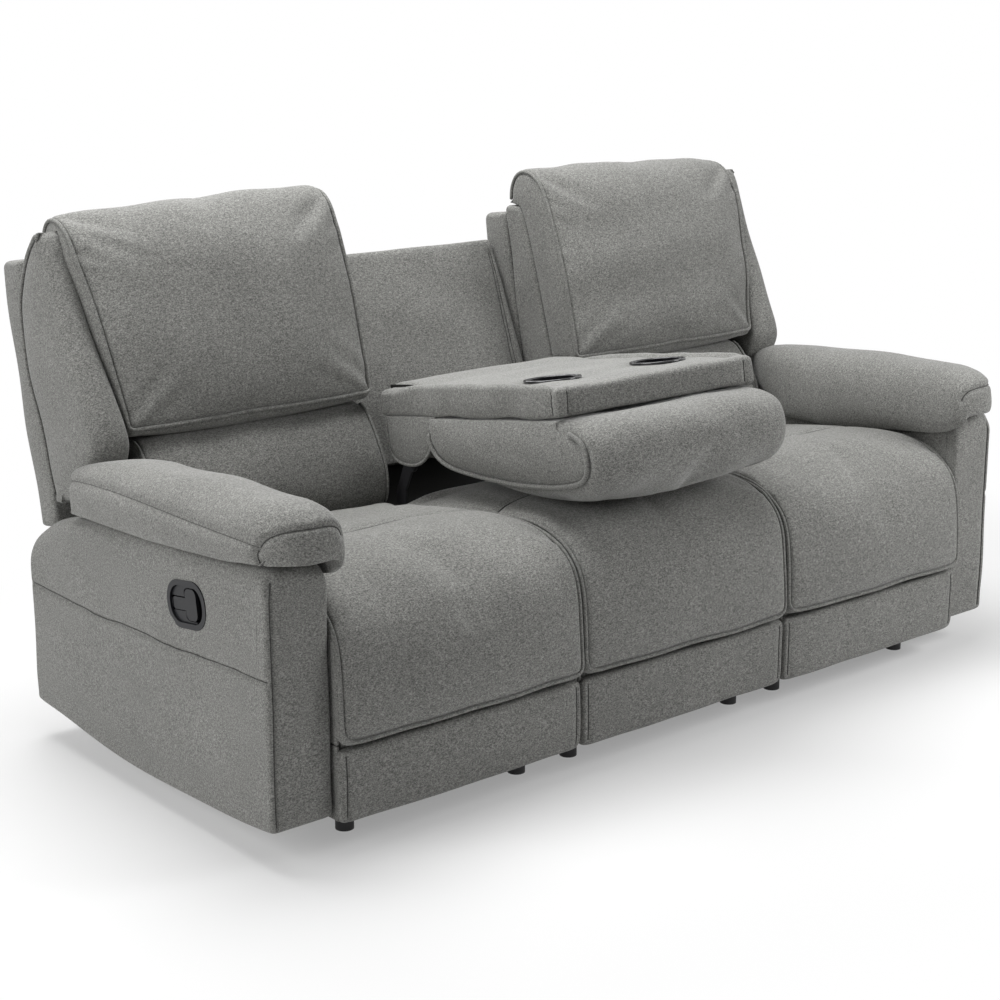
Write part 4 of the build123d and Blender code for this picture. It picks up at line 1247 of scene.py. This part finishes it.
# %% Gussets and cup lips
turn = np.linspace(0, 2 * np.pi, 96, endpoint=False)
box_faces = np.array([(0, 1, 2, 3), (7, 6, 5, 4), (0, 4, 5, 1), (1, 5, 6, 2), (2, 6, 7, 3), (3, 7, 4, 0)])
for side, sign in SIDES:
    x, along = sign * np.array([0.2305, 0.2140, 0.2275, 0.2300]), np.array([1.0, 1.0, 76.0, 76.0])
    points = np.vstack([table_line(x, along, -1.5), table_line(x, along, 7.0)])
    gusset = piece(f"console_{side}_gusset", mesh_of(points, outward(points, box_faces)), lining)
    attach(gusset, "console")
    rings = []
    for across, thick in ((55.0, 0.0022), (46.4, 0.0015)):
        path = table_line(sign * cup_x + across * MM * np.cos(turn), cup_along + across * np.sin(turn), -2.4)
        rings.append(tube(path, thick, 10, closed=True))
    lips = piece(f"console_{side}_cup_lips", mesh_of(*several(rings)), finishes["gloss_black"])
    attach(lips, "console")
print("gussets and cup lips")

# %% [markdown]
# Under the table hangs the middle head pillow. Its ends are D-shaped and piped, and rounder at the front than at
# the rear, so the radius of the block's ends changes along the section. Both sides are clipped, so that the
# pillow passes between the end backs when the console folds up.

# %% Console pillow
pillow_under = soft_line([table_point(162, 63), (30, 584), (24, 550), (-22, 516), (-140, 508), (-300, 512),
                          (-420, 524), (-470, 556), (-480, 604), (-462, 650), (-428, 668),
                          table_point(table_run - 10, 63)], 70)
pillow_seat = soft_line([table_point(164, 62), table_point(table_run - 12, 62)], 70)
end_round = np.interp(np.linspace(0, 1, 70), (0.0, 0.15, 0.45, 0.65, 0.85, 1.0),
                      (0.010, 0.012, 0.026, 0.042, 0.042, 0.020))
pillow_limit = 0.2752
block = padded_block(pillow_under, pillow_seat, stations(-0.265, 0.265, 0.042),
                     rungs=8, radius=end_round, inner_radius=0.004, crown=0.012, bulge=(0.012, 0.012))
swell(block, block.held((0, 1, -2, -1)), most=0.014)
block.points[:, 0] = np.clip(block.points[:, 0], -pillow_limit, pillow_limit)
mesh = finer(block)
ruffle(mesh, wave=0.15, height=0.004, seed=81,
       mask=lambda p: (1.0 - ease(0.66, 0.69, p[:, 2])) * (1.0 - ease(0.24, 0.27, np.abs(p[:, 0]))))
rows = [block.outer[1, 3:-3], block.outer[-2, 3:-3]]
corded("console_pillow_piping", piped(mesh, rows, radius=0.0046, depth=0.005, width=0.0095), "console")
covered("console_pillow_cover", mesh, 0.75, "console", "console_pillow")
print("console pillow")

# %% [markdown]
# Behind the pillow hangs the middle lumbar roll, plain and small, because the photograph shows little of it.

# %% Console lumbar roll
roll_under = soft_line([table_point(52, 63), (140, 580), (142, 548), (112, 509), (20, 515), (-6, 548),
                        table_point(194, 63)], 40)
roll_seat = soft_line([table_point(54, 62), table_point(192, 62)], 40)
block = padded_block(roll_under, roll_seat, stations(-0.229, 0.229, 0.018),
                     rungs=6, radius=0.018, inner_radius=0.003, crown=0.004, bulge=(0.004, 0.004))
swell(block, block.held(), most=0.008)
covered("console_lumbar_cover", finer(block), 0.7, "console", "console_lumbar")
print("console lumbar roll")

# %% [markdown]
# Both ends of the lumbar roll are closed by a welted end panel that also hides the hinge arms. It is a thin
# padded block that hangs from the table's edge outside the hinge bracket and turns with the console.

# %% Console end panels
end_low = soft_line([table_point(12, 61), (168, 558), (154, 506), (108, 496), (56, 506), (24, 536), (14, 572),
                     table_point(180, 61)], 60)
end_high = soft_line([table_point(14, 59), table_point(178, 59)], 60)
for side, sign in SIDES:
    block = padded_block(end_low, end_high, side_stations(sign, 0.2495, 0.2605, 0.005, 0.003), rungs=16, radius=0.005,
                         inner_radius=0.001, bulge=(0.004, 0.0) if sign < 0 else (0.0, 0.004))
    mesh = finer(block)
    row = block.outer[3 if sign < 0 else -4, 2:-2]
    cords = piped(mesh, [row], radius=0.0034, depth=0.002, width=0.006, proud=0.001)
    covered(f"console_{side}_end_panel", mesh, 0.7, "console")
    corded(f"console_{side}_end_piping", cords, "console")
print("two console end panels")

# %% [markdown]
# ## Middle rear panel
# Behind the folded console stands a fixed padded panel between the two backs. Two slanting seams on each side
# show where its cover is pieced.

# %% Rear panel cover
panel_front = soft_line([(271, 452), (276, 462), (350, 628), (452, 853), (463, 877), (470, 879)], 50)
panel_back = soft_line([(287, 444), (480, 870)], 50)
mesh = finer(padded_block(panel_front, panel_back, stations(-0.265, 0.265, 0.012),
                          rungs=3, radius=0.012, inner_radius=0.004, crown=0.006))
ruffle(mesh, wave=0.16, height=0.002, seed=91)
share = np.linspace(0.04, 0.94, 80)
flat = np.stack([np.interp(share, (0, 1), ends) for ends in ((0.270, 0.462), (0.455, 0.874))], 1)
seams = [np.column_stack([sign * (low_x + (top_x - low_x) * share), flat])
         for sign in (-1.0, 1.0) for top_x, low_x in ((0.250, 0.214), (0.255, 0.226))]
seam_shade_piece("middle_rear_seam_shade", sewn(mesh, seams, depth=0.0035, width=0.005), "frame")
covered("middle_rear_cover", mesh, 0.9, "frame", "middle_rear_panel")
print("middle rear panel with", len(seams), "seams")

# %% [markdown]
# Below and behind, a padded valance runs across the rear, notched where the hinge plates of the backs swing down.
# The notches could be cut with a boolean, but in so thin a block that leaves ragged faces. So they are part of the
# sections: at a notch the section is simply lower.

# %% Rear valance
valance_rear = soft_line([(344.5, 73), (354, 70), (359.5, 76), (360, 222), (359.5, 366), (354, 373),
                          (344.5, 372)], 40)
valance_face = soft_line([(344, 74), (344, 371)], 40)
valance_half, valance_low, valance_high = 0.8325, 0.073, 0.372
notch_x = np.array([way * seat_pitch + edge * 0.211 for way in (-1, 1) for edge in (-1, 1)])
notch_half, notch_low = 0.009, 0.300


def off_notch(places):
    """Distance from each place to the nearest notch."""
    return np.abs(places[:, None] - notch_x).min(axis=1)


places = stations(-valance_half, valance_half, 0.006, 0.014)
places = places[off_notch(places) > 1.6 * notch_half]
lips = notch_x[:, None] + notch_half * np.array([-1.4, -1.08, -1.0, -0.9, 0.0, 0.9, 1.0, 1.08, 1.4])
places = np.sort(np.r_[places, lips.ravel()])
cut = off_notch(places) < 1.04 * notch_half
keep = np.where(cut, (notch_low - valance_low) / (valance_high - valance_low), 1.0)[:, None]
notched = []
for y, z in (valance_rear.T, valance_face.T):
    lowered = valance_low + (z - valance_low) * keep
    notched.append(np.stack([np.broadcast_to(y, lowered.shape), lowered], 2))
mesh = finer(padded_block(*notched, places, rungs=3, radius=0.006, inner_radius=0.002))
ruffle(mesh, wave=0.18, height=0.002, seed=97)
covered("rear_valance_cover", mesh, 0.95, "frame", "rear_covers")
print("rear valance with", len(notch_x), "notches")

# %% [markdown]
# A padded board closes the back of the middle seat. It is a plain block that follows the slope of the rear panel.

# %% Rear board
board_rear = soft_line([(373, 379), (386, 374), (389, 384), (430, 588), (469, 792), (467, 801), (453, 792)], 50)
board_face = soft_line([(371.5, 380), (451.5, 790)], 50)
mesh = finer(padded_block(board_rear, board_face, stations(-0.266, 0.266, 0.008),
                          rungs=3, radius=0.008, inner_radius=0.002, crown=0.003))
ruffle(mesh, wave=0.18, height=0.002, seed=98)
covered("rear_board_cover", mesh, 0.95, "frame")
print("rear board")

# %% [markdown]
# When an end back reclines, the side of the middle panel comes into view. A thin padded cover on each side hides
# its posts. It is a padded block only 2 mm thick, because a back passes close by.

# %% Side covers of the middle panel
cheek_front = soft_line([(289, 454), (330, 546), (380, 656), (430, 768), (466, 866)], 40)
cheek_rear = soft_line([(377, 386), (397, 486), (417, 588), (437, 690), (455, 786)], 40)
thin = 0.0008
for side, sign in SIDES:
    places = side_stations(sign, 0.2664, 0.2686, thin, 0.001)
    block = padded_block(cheek_front, cheek_rear, places, rungs=8, radius=thin, inner_radius=thin)
    covered(f"middle_{side}_cheek", mesh_of(block.points, block.faces), 0.95, "frame")
print("two side covers of the middle panel")

# %% [markdown]
# The well between the seat and the rear panel is closed by thin black cloth, stapled to the seat's rear rail and
# to the panel's foot. It hangs in a shallow fold. It could be a cloth run, but it hardly moves, so a sagging
# strip with a little thickness is enough.

# %% Lining of the well
def hanging_strip(line, places, height, seed, slack):
    """A thin strip along a line, with lumps that fade to nothing at both held edges: sin(pi * share of slack)."""
    block = padded_block(line, line + np.array([0.0008, -0.0016]), places, rungs=2, radius=thin, inner_radius=thin)
    share = np.clip((block.points[:, 1] - 0.12) / slack, 0, 1)
    block.points[:, 2] += lumps(block.points, 0.12, height, seed) * np.sin(np.pi * share)
    return mesh_of(block.points, block.faces)


well_line = soft_line([(119, 404), (124, 372), (158, 350), (212, 350), (252, 368), (268, 404), (273, 436),
                       (274, 454)], 48)
well_mesh = hanging_strip(well_line, stations(-seat_half, seat_half, thin, 0.02), height=0.003, seed=95, slack=0.15)
well = piece("well_lining", well_mesh, lining)
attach(well, "frame")
print(well.name, len(well.data.polygons), "faces")

# %% [markdown]
# The same cloth closes the gap between each end seat and its back. It is sewn to the seat's rear rail and to the
# foot of the back, with slack for the recline, so it crosses the hinge. Riding on one body it would tear, so it
# rides on none: its place is baked into its mesh.

# %% Linings behind the end seats
slack_line = soft_line([(119, 402), (124, 366), (150, 338), (182, 342), (204, 370), (211, 404), (213, 428)], 48)
for side, sign in SIDES:
    places = side_stations(sign, 0.2770, 0.8305, thin, 0.02)
    drape_mesh = hanging_strip(slack_line, places, height=0.004, seed=96, slack=0.09)
    drape = piece(f"{side}_seat_lining", drape_mesh, lining)
    middle = sign * seat_pitch
    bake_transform(drape)
print("two linings behind the end seats")

# %% [markdown]
# ## Studio
# The photograph shows the sofa on white, with a faint shadow on the floor. The floor is white near the sofa, so
# that it keeps the shadow, and fades into pure white. The world is white only for the eye, for gloss and for
# glass; as light on the sofa it is weak.

# %% White floor and world
def background_ray(wire):
    """1 for a ray of the eye, of gloss or of glass: the sum of three outputs of Light Path."""
    wire.node("ShaderNodeLightPath", {}, {})
    outs = wire.tree.nodes[-1].outputs
    eye, gloss, glass = (Wire(wire.tree, outs[f"Is {kind} Ray"]) for kind in ("Camera", "Glossy", "Transmission"))
    return eye + gloss + glass


def white_floor():
    """White floor; away from the sofa it fades to plain white."""
    material, wire = new_finish("studio_floor")
    place = object_place(wire)
    flat = wire.node("ShaderNodeVectorMath", {"operation": "MULTIPLY"}, {0: place, 1: (0.55, 0.9, 0.0)})
    far = wire.node("ShaderNodeVectorMath", {"operation": "LENGTH"}, {0: flat}, out=1)
    fade = wire.node("ShaderNodeMapRange", {"interpolation_type": "SMOOTHSTEP"},
                     {0: far, 1: 0.62, 2: 1.25, 3: 0.30, 4: 1.0})
    matt = wire.node("ShaderNodeBsdfDiffuse", {}, {"Color": (0.74, 0.74, 0.74, 1.0)})
    glow = wire.node("ShaderNodeEmission", {}, {"Color": (1.0, 1.0, 1.0, 1.0), "Strength": 1.0})
    both = wire.node("ShaderNodeMixShader", {}, {0: fade * background_ray(wire), 1: matt, 2: glow})
    wire.node("ShaderNodeOutputMaterial", {}, {"Surface": both})
    return material


floor_corners = np.array([(-9, -9, -0.0005), (9, -9, -0.0005), (9, 9, -0.0005), (-9, 9, -0.0005)], float)
floor_mesh = mesh_of(floor_corners, np.array([[0, 1, 2, 3]]))
floor_mesh.materials.append(white_floor())
floor = bpy.data.objects.new("floor", floor_mesh)
scene.collection.objects.link(floor)

world = bpy.data.worlds.new("studio")
world.use_nodes = True
scene.world = world
world.node_tree.nodes.clear()
sky = Wire(world.node_tree)
ambient = sky.node("ShaderNodeBackground", {}, {"Color": (1.0, 1.0, 1.0, 1.0), "Strength": 0.07})
white = sky.node("ShaderNodeBackground", {}, {"Color": (1.0, 1.0, 1.0, 1.0), "Strength": 1.0})
both = sky.node("ShaderNodeMixShader", {}, {0: background_ray(sky), 1: ambient, 2: white})
sky.node("ShaderNodeOutputWorld", {}, {"Surface": both})
print("white floor and world")

# %% [markdown]
# Large soft lamps light the sofa from above and from the left, a small one lifts the right seat and one at the
# rear keeps the back readable. The camera's place and lens were fitted to straight edges of the photographed
# sofa.

# %% Lamps and camera
def lamp(name, place, aim, size, power):
    """A square soft lamp at a place, turned to its aim."""
    light = bpy.data.lights.new(name, "AREA")
    light.size, light.energy = size, power
    made = bpy.data.objects.new(name, light)
    made.location = place
    away = np.array(place, float) - np.array(aim, float)
    flat = np.hypot(away[0], away[1])
    made.rotation_euler = (float(np.arctan2(flat, away[2])), 0.0, float(np.arctan2(away[0], -away[1])))
    scene.collection.objects.link(made)


lamp("top_lamp", (-0.4, 0.6, 3.3), (0.0, 0.0, 0.4), 2.4, 143.0)
lamp("side_lamp", (-4.0, -0.2, 1.9), (0.0, 0.0, 0.5), 2.4, 84.0)
lamp("right_lamp", (1.7, -1.8, 1.5), (0.6, -0.3, 0.4), 1.1, 36.0)
lamp("rear_lamp", (0.8, 3.6, 2.6), (0.0, 0.0, 0.6), 2.4, 30.0)

lens = bpy.data.cameras.new("camera")
lens.lens, lens.sensor_width = 71.75, 36.0
camera = bpy.data.objects.new("camera", lens)
camera.location = (-2.640, -3.051, 1.4785)
camera.rotation_euler = (radians(75.04), radians(0.06), radians(-39.83))
scene.collection.objects.link(camera)
scene.camera = camera
scene.view_settings.view_transform = "Standard"
print("four lamps and one camera")
